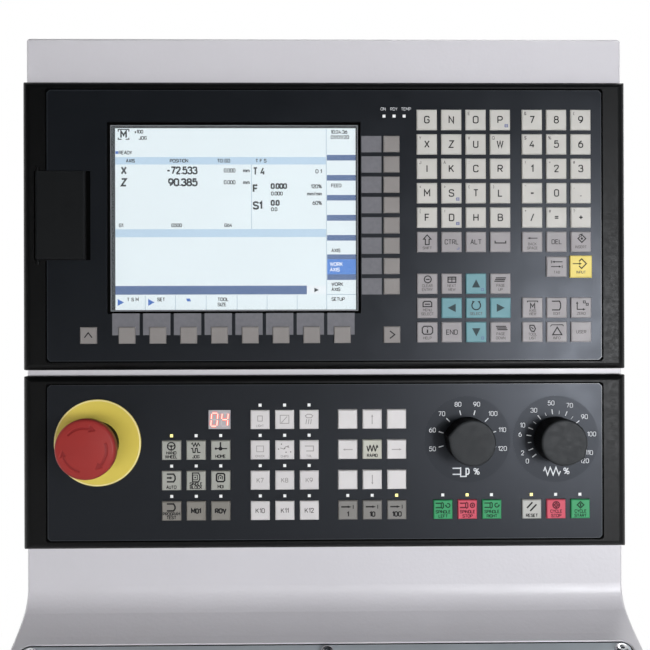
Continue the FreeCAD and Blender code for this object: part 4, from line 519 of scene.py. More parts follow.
LEGEND_TABLE = """
= step
k arrow -4.6,2.3 2.5,2.3 .55 2.6 1.7
k box 3.4 3.95 1 3.6
= spindle
d line .5 -5.3,4.4 -1.4,4.4
d line .5 -5.3,1.4 -1.4,1.4
d loop .45 -1.3,4.2 -.6,4.9 .2,4.2 .2,1.6 -.6,.9 -1.3,1.6
= shift
d loop .55 0,4.9 2.6,1.9 1.3,1.9 1.3,-1.8 -1.3,-1.8 -1.3,1.9 -2.6,1.9
f say SHIFT -4.2
= space
d line .6 -3.7,.8 -3.7,-.8 3.7,-.8 3.7,.8
= back
d arrow 3.6,2.5 -3.6,2.5 .5 2.2 1.6
f say BACK -1.5
f say SPACE -4.3
= insert
d line .6 .6,4.9 3.3,2.2 .6,-.5 -2.1,2.2 -.6,3.7
d line .5 -1.6,4.4 .6,5.3 0,3.4
d disc .6,2.2 .8
f say INSERT -3.6
= tab
d box -4 -3.5 2.3 4.3
d arrow 4,3.3 -3.4,3.3 .5 2 1.6
d box 3.5 4 -1 1
d arrow -4,0 3.4,0 .5 2 1.6
f say TAB -3.9
= input
d line .6 -1.4,3.6 .4,5.3 3.7,2 .4,-1.3 -1.4,.4
d arrow -5.8,2 .6,2 .5 1.9 1.7
f say INPUT -3.9
= clear
d arc .3,3 2.4 .6
d box -1 1.6 2.6 3.4
f say CLEAR -1.4
f say ENTRY -4.1
= window
d loop .6 -2.6,.9 2.8,.9 2.8,4.5 -2.6,4.5
d line .5 .1,1 .1,4.3
d line .5 -2.5,3.2 2.7,3.2
f say NEXT -1.4
f say VIEW -4.1
= menu
d loop .6 -3,.9 -3,3.6 -2,4.6 2,4.6 3,3.6 3,.9
d line .6 -1.8,2.6 1.8,2.6
f say MENU -1.4
f say SELECT -4.1
= help
d loop .6 -2.4,-1.4 2.4,-1.4 3.6,-.2 3.6,2.9 2.4,4.1 -2.4,4.1 -3.6,2.9 -3.6,-.2
d text i 0,1.4 3.8 .2
f say HELP -4
= select
d arc 0,1.7 3 .65 130 410
d fill -2.9,4.9 -.9,4.4 -2.3,3.1
d fill 2.9,4.9 .9,4.4 2.3,3.1
f say SELECT -4
= m
d line .5 -3.6,3.7 -3.6,4.6 3.6,4.6 3.6,3.7
d text M 0,1.2 3.6 .15
f say AXIS -1.9
f say VIEW -4.2
= page
d line .6 -3.5,4.5 1.8,4.5 2.6,2.65 2.6,.25 1.8,-1.6 -3.5,-1.6
f say EDIT -4.1
= corner
d arrow -2.8,-1.4 -2.8,4.4 .5 1.7
d arrow -2.8,-1.2 3,-1.2 .5 1.7
d loop .4 1.5,3.2 2.9,3.2 2.9,4.6 1.5,4.6
d loop .4 3.5,1.6 4.9,1.6 4.9,3 3.5,3
f say ZERO -4.1
= tool
d loop .6 -1.9,4.6 .8,4.6 2,2.2 .9,.2 -.9,.6 -1.9,2.4
d line .5 -1,3.2 .6,2
f say TOOL -1.6
f say LIST -4.2
= warning
d loop .6 .2,3.2 3.4,-2 -3,-2
d line .45 -4.6,3.8 -3.6,4.9 3.9,4.9 4.6,4
f say INFO -4.2
= page_up
d fill -3.2,4.3 3.9,4.3 3.7,3.55 -3.4,3.55
d fill -3.7,3.15 3.4,3.15 3.2,2.4 -3.9,2.4
d fill -4.2,2 2.9,2 2.7,1.25 -4.4,1.25
f say PAGE -1.3
f say UP -4.1
= page_down
d fill -3.2,4.3 3.9,4.3 3.7,3.55 -3.4,3.55
d fill -2.7,3.15 4.4,3.15 4.2,2.4 -2.9,2.4
d fill -2.2,2 4.9,2 4.7,1.25 -2.4,1.25
f say PAGE -1.3
f say DOWN -4.1
= right
t fill 3,0 -2.7,2.9 -2.7,-2.9
= up
t fill 0,3 -2.9,-2.7 2.9,-2.7
b loop .3 3.6,-4.9 5.2,-4.9 5.2,-3.4 3.6,-3.4
= left
t fill -3,0 2.7,-2.9 2.7,2.9
= down
t fill 0,-3 2.9,2.7 -2.9,2.7
b loop .3 3.6,-4.9 5.2,-4.9 5.2,-3.4 3.6,-3.4
= user
f say USER 0 2
= ctrl
d text CTRL 0,0 3.1 .13 9.2
b line .35 3.5,-5 5.1,-5 5.1,-3.7
= alt
d text ALT 0,0 3.1 .13 9.2
= del
d text DEL 0,0 2.9 .13 9.2
= end
d text END 0,0 3.1 .13 9.2
= chevron_up
d line .6 -2.6,-1.5 0,1.9 2.6,-1.5
= chevron_right
d line .6 -1.5,2.6 1.9,0 -1.5,-2.6
= hand_wheel_key
d arc 0,2.9 2.6 .5
d disc 0,2.9 .85
d line .4 0,2.9 -2.5,3.3
d line .4 0,2.9 2.5,3.3
d line .4 0,2.9 0,.4
d say HAND -1.7 1.9
d say WHEEL -4.4 1.9
= jog_key
d line .38 -3.2,4.2 -2.4,5 -1.4,2.7 -.4,5 .6,2.7 1.6,5 2.8,2.9
d line .42 -3.4,1.3 -2.2,1.3 -1.9,-1.5 -.6,-1.5 -.3,1.3 .9,1.3 1.3,-1.5 3.2,-1.5
d say JOG -4.4 1.9
= ref_point_key
d disc -3.2,1.1 .8
d line .45 -3.2,1.1 4.6,1.1
d line .6 0,1.1 0,5.6
d disc 0,1.1 1.35
d say HOME -4.2 1.9
= auto_key
d line .6 -3.1,4.6 1.6,4.6 2.6,3 2.6,.9 1.6,-.7 -3.1,-.7
d arrow -3.1,2 .9,2 .6 1.9 2
d say AUTO -4.4 1.9
= single_block_key
d loop .45 -2.4,5.3 1.7,5.3 2.6,3.7 2.6,.8 1.7,-.8 -2.4,-.8
d loop .3 -2.1,.6 1,.6 1,3.9 -2.1,3.9
d disc -.5,2.2 .6
d say SINGLE -2.3 1.9
d say BLOCK -4.6 1.9
= mda_key
d loop .6 -2,4.9 2,4.9 2.8,4.1 2.8,.1 2,-.7 -2,-.7 -2.8,.1 -2.8,4.1
d line .35 -1.5,.7 -1.5,2.9 -.2,3.7 1.4,2.7 1.1,.7
d disc 0,1.8 .6
d say MDI -4.2 1.9
= program_test_key
d line .6 -3.1,5 1.5,5 2.5,3.3 2.5,1.7 1.5,.2 -3.1,.2
d say PROGRAM -1.9 1.9
d say TEST -4.4 1.9
= optional_stop_key
d text M01 0,0 2.8 .18 9.2
= rapid_override_key
d text ROV 0,0 2.8 .18 9.2
= axis_key_up
p arrow 0,-3.4 0,3.4 .5 1.6 1.5
= axis_key_down
p arrow 0,3.4 0,-3.4 .5 1.6 1.5
= axis_key_left
p arrow 3.4,0 -3.4,0 .5 1.6 1.5
= axis_key_right
p arrow -3.4,0 3.4,0 .5 1.6 1.5
= rapid_key
d wave .42
d say RAPID -4.1 1.9
= step_1_key
- as step
k text 1 0,-2.8 3 .14 6.6
= step_10_key
- as step
k text 10 0,-2.8 3 .14 6.6
= step_100_key
- as step
k text 100 0,-2.8 3 .14 6.6
= spindle_left_key
- as spindle
d arc 3.4,2.9 1.35 .45 200 480 14
d fill 1.1,3.3 2.7,3.3 1.9,1.7
d say SPINDLE -1.5 1.9
d say LEFT -4.5 1.9
= spindle_stop_key
- as spindle
d arc 3.4,2.9 1.5 .45
d disc 3.4,2.9 .7
d say SPINDLE -1.5 1.9
d say STOP -4.5 1.9
= spindle_right_key
- as spindle
d arc 3.4,2.9 1.35 .45 -20 -300 14
d fill 4.1,3.3 5.7,3.3 4.9,1.7
d say SPINDLE -1.5 1.9
d say RIGHT -4.5 1.9
= reset_key
d line .6 -3.4,.8 .4,4.8
d line .6 -1.2,-1.3 3.2,3.3
d say RESET -4.3 1.9
= cycle_stop_key
d arc 0,2.8 2.3 .5
d loop .45 0,4.3 1.5,2.8 0,1.3 -1.5,2.8
d disc 0,2.8 .5
d say CYCLE -1.5 1.9
d say STOP -4.5 1.9
= cycle_start_key
d loop .5 0,5 2.3,2.8 0,.6 -2.3,2.8
d line .6 0,4 0,1.6
d say CYCLE -1.5 1.9
d say START -4.5 1.9
= lamp
p loop .35 -1.6,-1 1.6,-1 1.6,2.6 -1.6,2.6
p say LIGHT -4.2 1.4
= door
p loop .35 -3,-2.6 3,-2.6 3,3 -3,3
p line .35 -2.2,-2.2 1.8,2.2
= coolant
p loop .4 -2.6,2.6 -1.2,3.6 1.2,3.6 2.6,2.6 1.6,1.2 -1.6,1.2
p line .4 -1.6,.2 -2.2,-3.2
p line .4 0,.2 -.6,-3.2
p line .4 1.6,.2 1,-3.2
= chuck
p loop .3 -2.4,-1.2 2.4,-1.2 2.4,2.8 -2.4,2.8
p say CHUCK -4.2 1.4
= chips
f disc -4.2,.6 .45 8
f disc -2.2,4 .45 8
f disc 0,1 .45 8
f disc 2.4,2.6 .45 8
f disc 1,-1.6 .45 8
f disc 4.2,-1.4 .45 8
p line .4 -3,1.4 -.6,.6 1,2.4 3.2,1.6
p say CHIPS -4.4 1.4
= tail
p line .45 -3,2.6 3,2.6 3,-.8 -2,-.8
p say TAIL -4.2 1.4
= spindle_dial
w line .8 -10.4,-20.1 -5,-20.1
w line .8 -10.4,-24.3 -5,-24.3
w line .8 -4.8,-19.4 -4.8,-25.8 -1,-25.8 -1,-20.6
w line .9 -1.4,-20.3 .4,-20.3 1,-21.2 1,-23.4 .4,-24.3 -1.4,-24.3
= feed_dial
w line .75 -8.6,-22.4 -7.6,-19.8 -5.9,-25 -4,-19.8 -2,-25 0,-19.8 2,-25 3.1,-22.4
= screen
paper box -147.1 20.5 -58.3 68.4
band box -147.1 0 43.12 48.28
band box -147.1 0 -7.59 -2.01
lines line .45 -52.27,43.1 -52.27,-2
lines line .45 0,68.4 0,-58.3
lines line .4 -126.4,-48.3 -126.4,-58.3
lines line .4 -105.35,-48.3 -105.35,-58.3
lines line .4 -84.05,-48.3 -84.05,-58.3
lines line .4 -62.5,-48.3 -62.5,-58.3
lines line .4 -41.6,-48.3 -41.6,-58.3
lines line .4 -20.6,-48.3 -20.6,-58.3
lines line .4 0,-48.3 0,-58.3
lines line .5 0,-47.8 20.5,-47.8
bar box -147.1 -13.8 -47.62 -41.55
bar box .4 20.5 45.88 49.79
bar box .4 20.5 31.82 35.74
bar box .4 20.5 17.91 21.75
bar box .4 20.5 3.78 7.84
bar box .4 20.5 -10.13 -6.22
bar box .4 20.5 -23.13 -19.78
bar box .4 20.5 -37.61 -33.69
chosen box .4 20.5 -33.69 -23.13
cell box -13.6 -.2 -47.4 -41.7
text fill -8.6,-43 -8.6,-46.2 -5.4,-44.6
text text X -141.1,38.95 4.6 .15
text right -72.533 -90.4,38.95 4.5 .15 20.5
text left 0.000 -71.3,38.95 2.4 .13 7.6
text right mm -53.8,38.95 2.4 .13 5.6
text text Z -141.1,30.7 4.6 .15
text right 90.385 -90.4,30.7 4.5 .15 20.5
text left 0.000 -71.3,30.7 2.4 .13 7.6
text right mm -53.8,30.7 2.4 .13 5.6
text left T~4 -50.8,38.4 4.6 .15 7.6
text left F -50.8,26.3 4.6 .15 7.6
text left S1 -50.8,14.5 4.6 .15 7.6
text left 0.000 -38.4,28 3 .2 10.5
text left 0.000 -38.4,22.8 2.2 .14 10.5
text left 0.0 -38.4,16.3 3 .2 10.5
text left 0.0 -38.4,11.8 2.2 .14 10.5
text right D~1 -3.4,38.3 2.3 .13 12.8
text right 120% -3.4,27.8 2.3 .13 12.8
text right mm/min -3.4,22.7 2.3 .13 12.8
text right 60% -3.4,16.2 2.3 .13 12.8
text left READY -144.4,51.4 2.1
text left AXIS -139.4,45.7 2.1
text left POSITION -108.9,45.7 2.1
text left TO~GO -75.9,45.7 2.1
text left T~F~S -49.2,45.7 2.1
text left G1 -144.4,.7 2.1
text left G500 -107.9,.7 2.1
text left G64 -71.1,.7 2.1
text left x100 -133.4,66 2.1
text left JOG -130.4,61.6 2.1
text left AXIS 3.6,-17 2.1
text left WORK 3.6,-40.6 2.1
text left AXIS 3.6,-44.2 2.1
text left FEED 3.6,28.4 2.1
text left SETUP 3.6,-51 2.1
text left T~S~M -138.9,-51 2.1
text left SET -117.9,-51 2.1
text left TOOL -75.9,-51 2.1
text left SIZE -75.9,-54.6 2.1
white left WORK 2.6,-26.6 2.3
white left AXIS 2.6,-30.4 2.3
text line .4 -144.9,66 -144.9,67.5 -137.5,67.5 -137.5,66
text line .4 -144.9,61.8 -144.9,60.7 -142.6,60.7
text line .4 -139.8,60.7 -137.5,60.7 -137.5,61.8
text text M -141.2,64.1 4.4 .15
text left 10:24:36 3.4,65.8 2.2
text left 01/01/20 3.4,62.2 2.2
marks box -146.9 -144.9 50.5 52.4
marks fill -145.6,-50.6 -145.6,-55.4 -141.2,-53
marks fill -124.4,-50.6 -124.4,-55.4 -120,-53
marks fill -98,-50.4 -95.4,-50.4 -94.6,-52.4 -97.2,-52.4
"""
INKS = {"d": "dark", "f": "faint", "p": "pale", "b": "blue", "t": "teal", "k": "black", "w": "white"}
PENS = {"dark": FINISH["ink_dark"], "faint": FINISH["ink_grey"], "pale": FINISH["ink_pale"],
        "blue": FINISH["ink_blue"], "teal": FINISH["ink_teal"], "black": FINISH["ink_black"]}
ALIGNED = {"text": "CENTER", "left": "LEFT", "right": "RIGHT"}
SAY_HEIGHT, SAY_WEIGHT, SAY_FIT = 1.7, 0.14, 11.6
WAVE = [(-3.9, 2.4)] + [(-3.9 + 0.3 * n, 0.9 + 1.9 * math.sin(math.pi / 2 + n * 0.78)) for n in range(1, 27)]

LEGENDS = {}
for row in LEGEND_TABLE.strip().splitlines():
    if row.startswith("= "):
        LEGENDS[row[2:]] = []
    else:
        list(LEGENDS.values())[-1].append(row)


class Marks:
    """Prints of every ink that share a place."""

    def __init__(self, bold, **swapped):
        self.inks = {**PENS, **swapped}
        self.prints = {name: Print(bold) for name in self.inks}

    def at(self, x, z):
        for each in self.prints.values():
            each.x, each.z = x, z
        return self.prints

    def make(self, name, body, front):
        for ink_name, each in self.prints.items():
            if each.faces:
                each.make(name + "_" + ink_name, self.inks[ink_name], body, front)


def arrow(pen, x0, z0, x1, z1, width, head, wide=None):
    """A line that ends in a solid head."""
    way = Vector((x1 - x0, z1 - z0)).normalized()
    side = Vector((-way.y, way.x)) * (wide or head) / 2
    neck = Vector((x1, z1)) - way * head
    pen.line([(x0, z0), (neck.x + way.x * 0.1, neck.y + way.y * 0.1)], width)
    pen.fill([(x1, z1), (neck.x + side.x, neck.y + side.y), (neck.x - side.x, neck.y - side.y)])


def draw(pens, legend):
    """Draws a legend, given by its name or as a list of its marks, at its pens' place."""
    for mark in LEGENDS[legend] if isinstance(legend, str) else legend:
        name, kind, *rest = mark.split()
        if kind == "as":
            draw(pens, rest[0])
            continue
        pen = pens[INKS.get(name, name)]
        text = rest.pop(0).replace("~", " ") if kind in ALIGNED or kind == "say" else None
        at = [tuple(numbers(part)) for part in rest if "," in part]
        sizes = [float(part) for part in rest if "," not in part]
        if kind in ("line", "loop"):
            pen.line(at, sizes[0], kind == "loop")
        elif kind == "wave":
            pen.line(WAVE, sizes[0])
        elif kind == "fill":
            pen.fill(at)
        elif kind == "box":
            pen.box(*sizes)
        elif kind == "arrow":
            arrow(pen, *at[0], *at[1], *sizes)
        elif kind == "say":
            pen.text(text, 0.0, sizes[0], *(sizes[1:] or [SAY_HEIGHT]), SAY_WEIGHT, SAY_FIT)
        elif text:
            pen.text(text, *at[0], *sizes, align=ALIGNED[kind])
        else:
            getattr(pen, kind)(*at[0], *sizes)


# The upper panel's keys, from the panel's centre

LETTER_X = 70.5
DIGIT_X = 143.6
KEY_ROW = 73.0
KEY_PITCH = 16.95
CURSOR_ROWS = (-40.7, -57.5, -74.3)
SOFTKEY_AT, SOFTKEY_PITCH = (-137.2, -75.9), 21.25
SIDE_KEY_AT, SIDE_KEY_PITCH = (45.9, 56.3), 14.1
SECONDS = {"O": "E", "X": "Y", "U": "V", "W": "Q", "I": "J", "K": "A", "C": ":", "M": "<", "S": ">",
           "T": "(", "L": ")", "F": "[", "D": "!", "7": "&", "9": "(", "4": "$", "5": "%", "1": "!",
           "2": "=", "3": "#", "-": "_", ".": ",", "/": "*", "=": "#", "+": "?"}
OTHER_KEYS = (
    (LETTER_X, KEY_ROW - 5 * KEY_PITCH, "shift ctrl alt space"),
    (DIGIT_X, KEY_ROW - 5 * KEY_PITCH, "back del insert"),
    (160.55, -29.0, "tab input:yellow"),
    (LETTER_X, CURSOR_ROWS[0], "clear window up:cyan page_up"),
    (LETTER_X, CURSOR_ROWS[1], "menu left:cyan select:cyan right:cyan"),
    (LETTER_X, CURSOR_ROWS[2], "help end down:cyan page_down"),
    (DIGIT_X, CURSOR_ROWS[1], "m page corner"),
    (DIGIT_X, CURSOR_ROWS[2], "tool warning user"),
)


def letter(sign):
    """A letter or digit with its small second sign."""
    marks = ["d text %s 0,0 4.5 %s" % (sign, 0.2 if sign in "-." else 0.135)]
    if sign in SECONDS:
        marks.append("f text %s -4.7,4.3 2" % SECONDS[sign])
    if sign in "PSD":
        marks += ["b loop .4 3.4,-5 5.2,-5 5.2,-3.4 3.4,-3.4", "b line .3 3.5,-4.2 5.1,-4.2"]
    return marks


OPERATOR_KEYS = []  # x, z, cap, legend
for row, signs in enumerate(("GNOP789", "XZUW456", "IKCR123", "MSTL-0.", "FDHB/=+")):
    for column, sign in enumerate(signs):
        x = LETTER_X + column * KEY_PITCH if column < 4 else DIGIT_X + (column - 4) * KEY_PITCH
        OPERATOR_KEYS.append((x, KEY_ROW - row * KEY_PITCH, "letter", letter(sign)))
for x, z, names in OTHER_KEYS:
    for column, name in enumerate(names.split()):
        legend, _, cap = name.partition(":")
        OPERATOR_KEYS.append((x + column * KEY_PITCH, z, cap or "grey", legend))
for number in range(8):
    OPERATOR_KEYS.append((SOFTKEY_AT[0] + number * SOFTKEY_PITCH, SOFTKEY_AT[1], "soft", ()))
    OPERATOR_KEYS.append((SIDE_KEY_AT[0], SIDE_KEY_AT[1] - number * SIDE_KEY_PITCH, "soft", ()))
OPERATOR_KEYS.append((-163.7, SOFTKEY_AT[1], "soft", "chevron_up"))
OPERATOR_KEYS.append((SIDE_KEY_AT[0], SOFTKEY_AT[1], "soft", "chevron_right"))


def dress_overlay(node_name, keys, name, bold):
    """Colours an overlay's key tops, which are the polygons ahead of its film, by place, and prints them."""
    mesh = NODES[node_name].data
    caps = ["letter", "grey", "yellow", "cyan", "soft", "custom"]
    for cap in caps:
        mesh.materials.append(FINISH["cap_" + cap].material)
    for polygon in mesh.polygons:
        x, y, z = (part / MM for part in polygon.center)
        if y < OVERLAY_Y - 0.05:
            near = min(keys, key=lambda key: (key[0] - x) ** 2 + (key[1] - z) ** 2)
            polygon.material_index = 1 + caps.index(near[2])
    marks = Marks(bold)
    for x, z, _, legend in keys:
        draw(marks.at(x, z), legend)
    marks.make(name, "console", KEY_TOP_Y)


dress_overlay("operator_overlay", [(x, z + OPERATOR_Z, cap, legend) for x, z, cap, legend in OPERATOR_KEYS],
              "operator_legends", 1.3)

# Printed fields beside the softkeys, and the words over the indicators

fields = Print()
for number in range(8):
    x = -147.54 + number * SOFTKEY_PITCH
    fields.box(x, x + 18.86, OPERATOR_Z - 75.8, OPERATOR_Z - 60.75)
for number in range(8):
    z = OPERATOR_Z + 62.0 - number * SIDE_KEY_PITCH
    fields.box(25.1, 39.0, z - 11.3, z)
fields.make("softkey_fields", FINISH["ink_field"], "console", OVERLAY_Y)
labels = Print()
for x, text in ((40.3, "ON"), (47.8, "RDY"), (56.2, "TEMP")):
    labels.text(text, x, OPERATOR_Z + 80.8, 1.9, fit=7.0)
labels.make("indicator_labels", FINISH["ink_white"], "console", OVERLAY_Y)

# The lower panel's keys

MODE_ROWS = (210.35, 189.4, 168.45)
MODE_X = -106.8
CUSTOM_X = -45.6
CUSTOM_ROWS = (231.3,) + MODE_ROWS
STEP_X = 15.0
SPINDLE_X = 81.0
CYCLE_X = 142.7

for name in [name for name in LEGENDS if name in NODES]:
    low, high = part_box(name)
    legend = Marks(1.2 if name.startswith("axis") else 1.8, dark=FINISH.get("ink_" + name, PENS["dark"]))
    draw(legend.at((low[0] + high[0]) / 2 / MM, (low[2] + high[2]) / 2 / MM), name)
    legend.make(name + "_legend", name, low[1] / MM)

CUSTOM_KEYS = []
for number, name in enumerate("lamp door coolant chuck chips tail K7 K8 K9 K10 K11 K12".split()):
    legend = ["%s text %s 0,0 2.9 .13 7.4" % ("p" if number < 9 else "f", name)] if name[0] == "K" else name
    CUSTOM_KEYS.append((CUSTOM_X + number % 3 * KEY_PITCH, CUSTOM_ROWS[number // 3], "custom", legend))
dress_overlay("machine_overlay", CUSTOM_KEYS, "custom_legends", 1.35)

# The indicators that are on

LED_ABOVE = 9.9  # over its key
LED_NEAR = 2.5
leds = NODES["key_leds"].data
leds.materials.append(FINISH["led_yellow"].material)
for polygon in leds.polygons:
    x, y, z = (part / MM for part in polygon.center)
    for led_x, key_z in ((MODE_X, MODE_ROWS[0]), (STEP_X + 2 * KEY_PITCH, MODE_ROWS[2]),
                         (SPINDLE_X + KEY_PITCH, MODE_ROWS[2]), (CYCLE_X, MODE_ROWS[2])):
        if abs(x - led_x) < LED_NEAR and abs(z - key_z - LED_ABOVE) < LED_NEAR:
            polygon.material_index = 1

# The tool display's two figures, each of seven segments

DISPLAY_AT = (-73.7, 231.3)
LEAN = 0.08
SEGMENTS = {"a": (-1.6, 4.5, 1.6, 4.5), "g": (-1.6, 0.0, 1.6, 0.0), "d": (-1.6, -4.5, 1.6, -4.5),
            "f": (-2.1, 0.5, -2.1, 4.0), "b": (2.1, 0.5, 2.1, 4.0), "e": (-2.1, -4.0, -2.1, -0.5),
            "c": (2.1, -4.0, 2.1, -0.5)}
display_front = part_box("tool_display")[0][1] / MM
on, off, halo = Print(), Print(), Print()
for beside, lit in ((-3.6, "abcdef"), (3.6, "bcfg")):
    for segment, (x0, z0, x1, z1) in SEGMENTS.items():
        x, z = DISPLAY_AT[0] + beside, DISPLAY_AT[1]
        ends = [(x + x0 + LEAN * z0, z + z0), (x + x1 + LEAN * z1, z + z1)]
        if segment in lit:
            halo.line(ends, 1.9)
            on.line(ends, 0.8)
        else:
            off.line(ends, 0.9)
halo.make("tool_halo", FINISH["segment_halo"], "console", display_front)
on.make("tool_figures", FINISH["segment_on"], "console", display_front - INK)
off.make("tool_figures_off", FINISH["segment_off"], "console", display_front)

# The knobs' dials

DIALS = (98.3, 216.9), (160.0, 216.9)
DIAL_RADIUS = 30.0
TICK = (17.3, 20.7)
LABEL_RADIUS = 25.2
SCALES = ((195.0, 30.0, "50,60,70,80,90,100,110,120"),
          (217.5, 15.0, "0,2,,6,10,,30,,50,,70,,90,,100,,110,120"))  # first mark, degrees between marks, labels
dial_disc, dial_ink = Print(), Print()
for (x, z), (first, between, labels) in zip(DIALS, SCALES):
    dial_disc.disc(x, z, DIAL_RADIUS, 96)
    for number, text in enumerate(labels.split(",")):
        turn = math.radians(first - number * between)
        c, s = math.cos(turn), math.sin(turn)
        outer = TICK[1] if text else TICK[1] - 1.0
        dial_ink.line([(x + TICK[0] * c, z + TICK[0] * s), (x + outer * c, z + outer * s)], 0.65 if text else 0.35)
        if text:
            dial_ink.text(text, x + LABEL_RADIUS * c, z + LABEL_RADIUS * s, 2.9, fit=6.8)
for (x, z), beside in zip(DIALS, (6.3, 7.3)):
    dial_ink.text("%", x + beside, z - 22.3, 4.0, weight=0.16)
for (dial_ink.x, dial_ink.z), symbol in zip(DIALS, ("spindle_dial", "feed_dial")):
    draw({"white": dial_ink}, symbol)
dial_disc.make("dial_discs", FINISH["ink_dial"], "console", OVERLAY_Y)
dial_ink.make("dial_figures", FINISH["ink_white"], "console", OVERLAY_Y - INK)

# The screen's picture: each print with its layer, how bold it is, its piece, its finish and its colour

SCREEN_X = 0.8
SCREEN_DIM = 0.35  # how much of its light's colour the surface has itself
SCREEN_GLOW = 0.65
SCREEN_PRINTS = """
paper 0 1 screen_paper screen_paper 233,244,248
band 1 1 screen_bands screen_band 190,215,235
bar 1 1 screen_bars screen_bar 76,102,150
cell 1 1 screen_cell screen_cell 240,246,250
chosen 1 1 screen_chosen screen_blue 70,130,215
text 2 1.8 screen_text screen_ink 12,14,20
lines 2 1 screen_lines screen_line 178,198,212
white 2 1.5 screen_white_text screen_white 245,250,255
marks 2 1 screen_marks screen_mark 40,100,190
"""
rows = [row.split() for row in SCREEN_PRINTS.strip().splitlines()]
screen = {row[0]: Print(float(row[2]), SCREEN_X, OPERATOR_Z) for row in rows}
draw(screen, "screen")
for name, layer, _, piece_name, finish_name, display in rows:
    display = numbers(display)
    dim = [part * SCREEN_DIM for part in tone(*display)[:3]] + [1.0]
    finish = Finish(finish_name, dim, 0.5, specular=0.2).cloud(0.02, 0.04).glow(*display, SCREEN_GLOW)
    screen[name].make(piece_name, finish, "console", MODULE_Y - int(layer) * INK)

# The emergency stop's head, with its three engraved arrows, their grooves painted darker as shade

ESTOP_AT = (-157.8, 215.6)
HEAD_RADIUS = 20.0
HEAD_BORE = 5.06
HEAD_LOW = 18.0
HEAD_FOOT = 12.4
RIM_LOW = 27.0
RIM_HIGH = 32.0
CHEEK = 2.8
DOME = 93.0
ARROW_DEEP = 0.5
ARROW_RADIUS = 14.4
ARROW_WIDE = 1.5
ARROW_SPAN = 78.0
ARROW_HEAD = 17.0  # degrees that the arrow's head takes
ARROW_HEAD_WIDE = 2.3  # half of it
ARROW_STARTS = (138.0, 18.0, -102.0)
ARROW_SLOPE = 0.35  # how wide the groove's sides are
RING_PITCH = 0.28  # between the crown's rings where the arrows are
CROWN_RINGS = (8.4, 6.4, 4.2, 2.0)  # further in
HEAD_TURNS = 420


def in_arrow(radius, turn):
    """How far inside an engraved arrow a point of the head lies, in millimetres; negative outside."""
    best = -9.0
    for start in ARROW_STARTS:
        along = (start - turn) % 360.0
        if along > 330.0:
            along -= 360.0
        ahead = math.radians(along) * ARROW_RADIUS
        length = math.radians(ARROW_SPAN) * ARROW_RADIUS
        head = math.radians(ARROW_HEAD) * ARROW_RADIUS
        off = abs(radius - ARROW_RADIUS)
        shaft = min(ahead, length - head - ahead + 0.3, ARROW_WIDE / 2 - off)
        taper = (length - ahead) / head * ARROW_HEAD_WIDE
        point = min(ahead - (length - head), taper - off, length - ahead)
        best = max(best, shaft, point)
    return best


def dome_height(radius):
    cheek_radius = HEAD_RADIUS - CHEEK
    top = RIM_HIGH + CHEEK
    edge = math.sqrt(DOME ** 2 - cheek_radius ** 2)
    return top + math.sqrt(DOME ** 2 - radius ** 2) - edge


profile = [(HEAD_BORE, HEAD_LOW + 14.0), (HEAD_BORE, HEAD_LOW), (HEAD_FOOT - 0.4, HEAD_LOW),
           (HEAD_FOOT, HEAD_LOW + 0.3), (HEAD_RADIUS - 0.5, RIM_LOW - 0.5), (HEAD_RADIUS, RIM_LOW + 0.3),
           (HEAD_RADIUS, RIM_HIGH)]
for n in range(1, 9):
    turn = math.pi / 2 * n / 8
    profile.append((HEAD_RADIUS - CHEEK * (1 - math.cos(turn)), RIM_HIGH + CHEEK * math.sin(turn)))
rings = len(profile)
radii = [HEAD_RADIUS - CHEEK - RING_PITCH * n for n in range(1, 28)] + list(CROWN_RINGS)
vertices, faces, shades = [], [], []
for radius, high in profile + [(radius, None) for radius in radii]:
    for step in range(HEAD_TURNS):
        turn = 360.0 * step / HEAD_TURNS
        raised = high
        if raised is None:
            share = min(1.0, max(0.0, in_arrow(radius, turn) / ARROW_SLOPE + 0.5))
            raised = dome_height(radius) - ARROW_DEEP * share
        c, s = math.cos(math.radians(turn)), math.sin(math.radians(turn))
        vertices.append(((ESTOP_AT[0] + radius * c) * MM, (OVERLAY_Y - raised) * MM,
                         (ESTOP_AT[1] + radius * s) * MM))
count = len(profile) + len(radii)
faces = [(a, d, c, b) for a, b, c, d in ring_quads(count, HEAD_TURNS)]
# Faces inside an arrow get the darker red: painted shade in the grooves
for ring in range(count - 1):
    middle = radii[ring - rings] if ring >= rings else None
    for step in range(HEAD_TURNS):
        shades.append(int(middle is not None and in_arrow(middle, 360.0 * (step + 0.5) / HEAD_TURNS) > 0))
vertices.append((ESTOP_AT[0] * MM, (OVERLAY_Y - dome_height(0.0)) * MM, ESTOP_AT[1] * MM))
vertices.append((ESTOP_AT[0] * MM, (OVERLAY_Y - profile[0][1]) * MM, ESTOP_AT[1] * MM))
for step in range(HEAD_TURNS):
    after = (step + 1) % HEAD_TURNS
    faces.append(((count - 1) * HEAD_TURNS + step, len(vertices) - 2, (count - 1) * HEAD_TURNS + after))
    faces.append((after, len(vertices) - 1, step))
    shades += [0, 0]
head_piece = piece("estop_head", vertices, faces, [FINISH["red_plastic"], FINISH["red_groove"]], "estop_mushroom",
                   shades)
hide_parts("estop_mushroom")
soften(head_piece, 50.0)

# Round button-head screws with hexagon sockets, in place of the many-sided ones

SCREW_HEAD = 4.75
SCREW_HIGH = 2.75
SCREW_EDGE = 0.25  # the upright edge of the head
SCREW_CROWN = 2.85
SCREW_SOCKET = 3.0 / math.sqrt(3.0)
SCREW_SOCKET_DEEP = 1.8
SCREW_LONG = 9.0
SHANK = 2.5
SCREW_SIDES = 36
DESK_SLOPE = math.radians(24.0)
DESK_UP = Vector((0.0, -math.sin(DESK_SLOPE), math.cos(DESK_SLOPE)))
DESK_DOWN = Vector((0.0, -math.cos(DESK_SLOPE), -math.sin(DESK_SLOPE)))
REAR_UP = Vector((0.0, 1.0, 0.0))


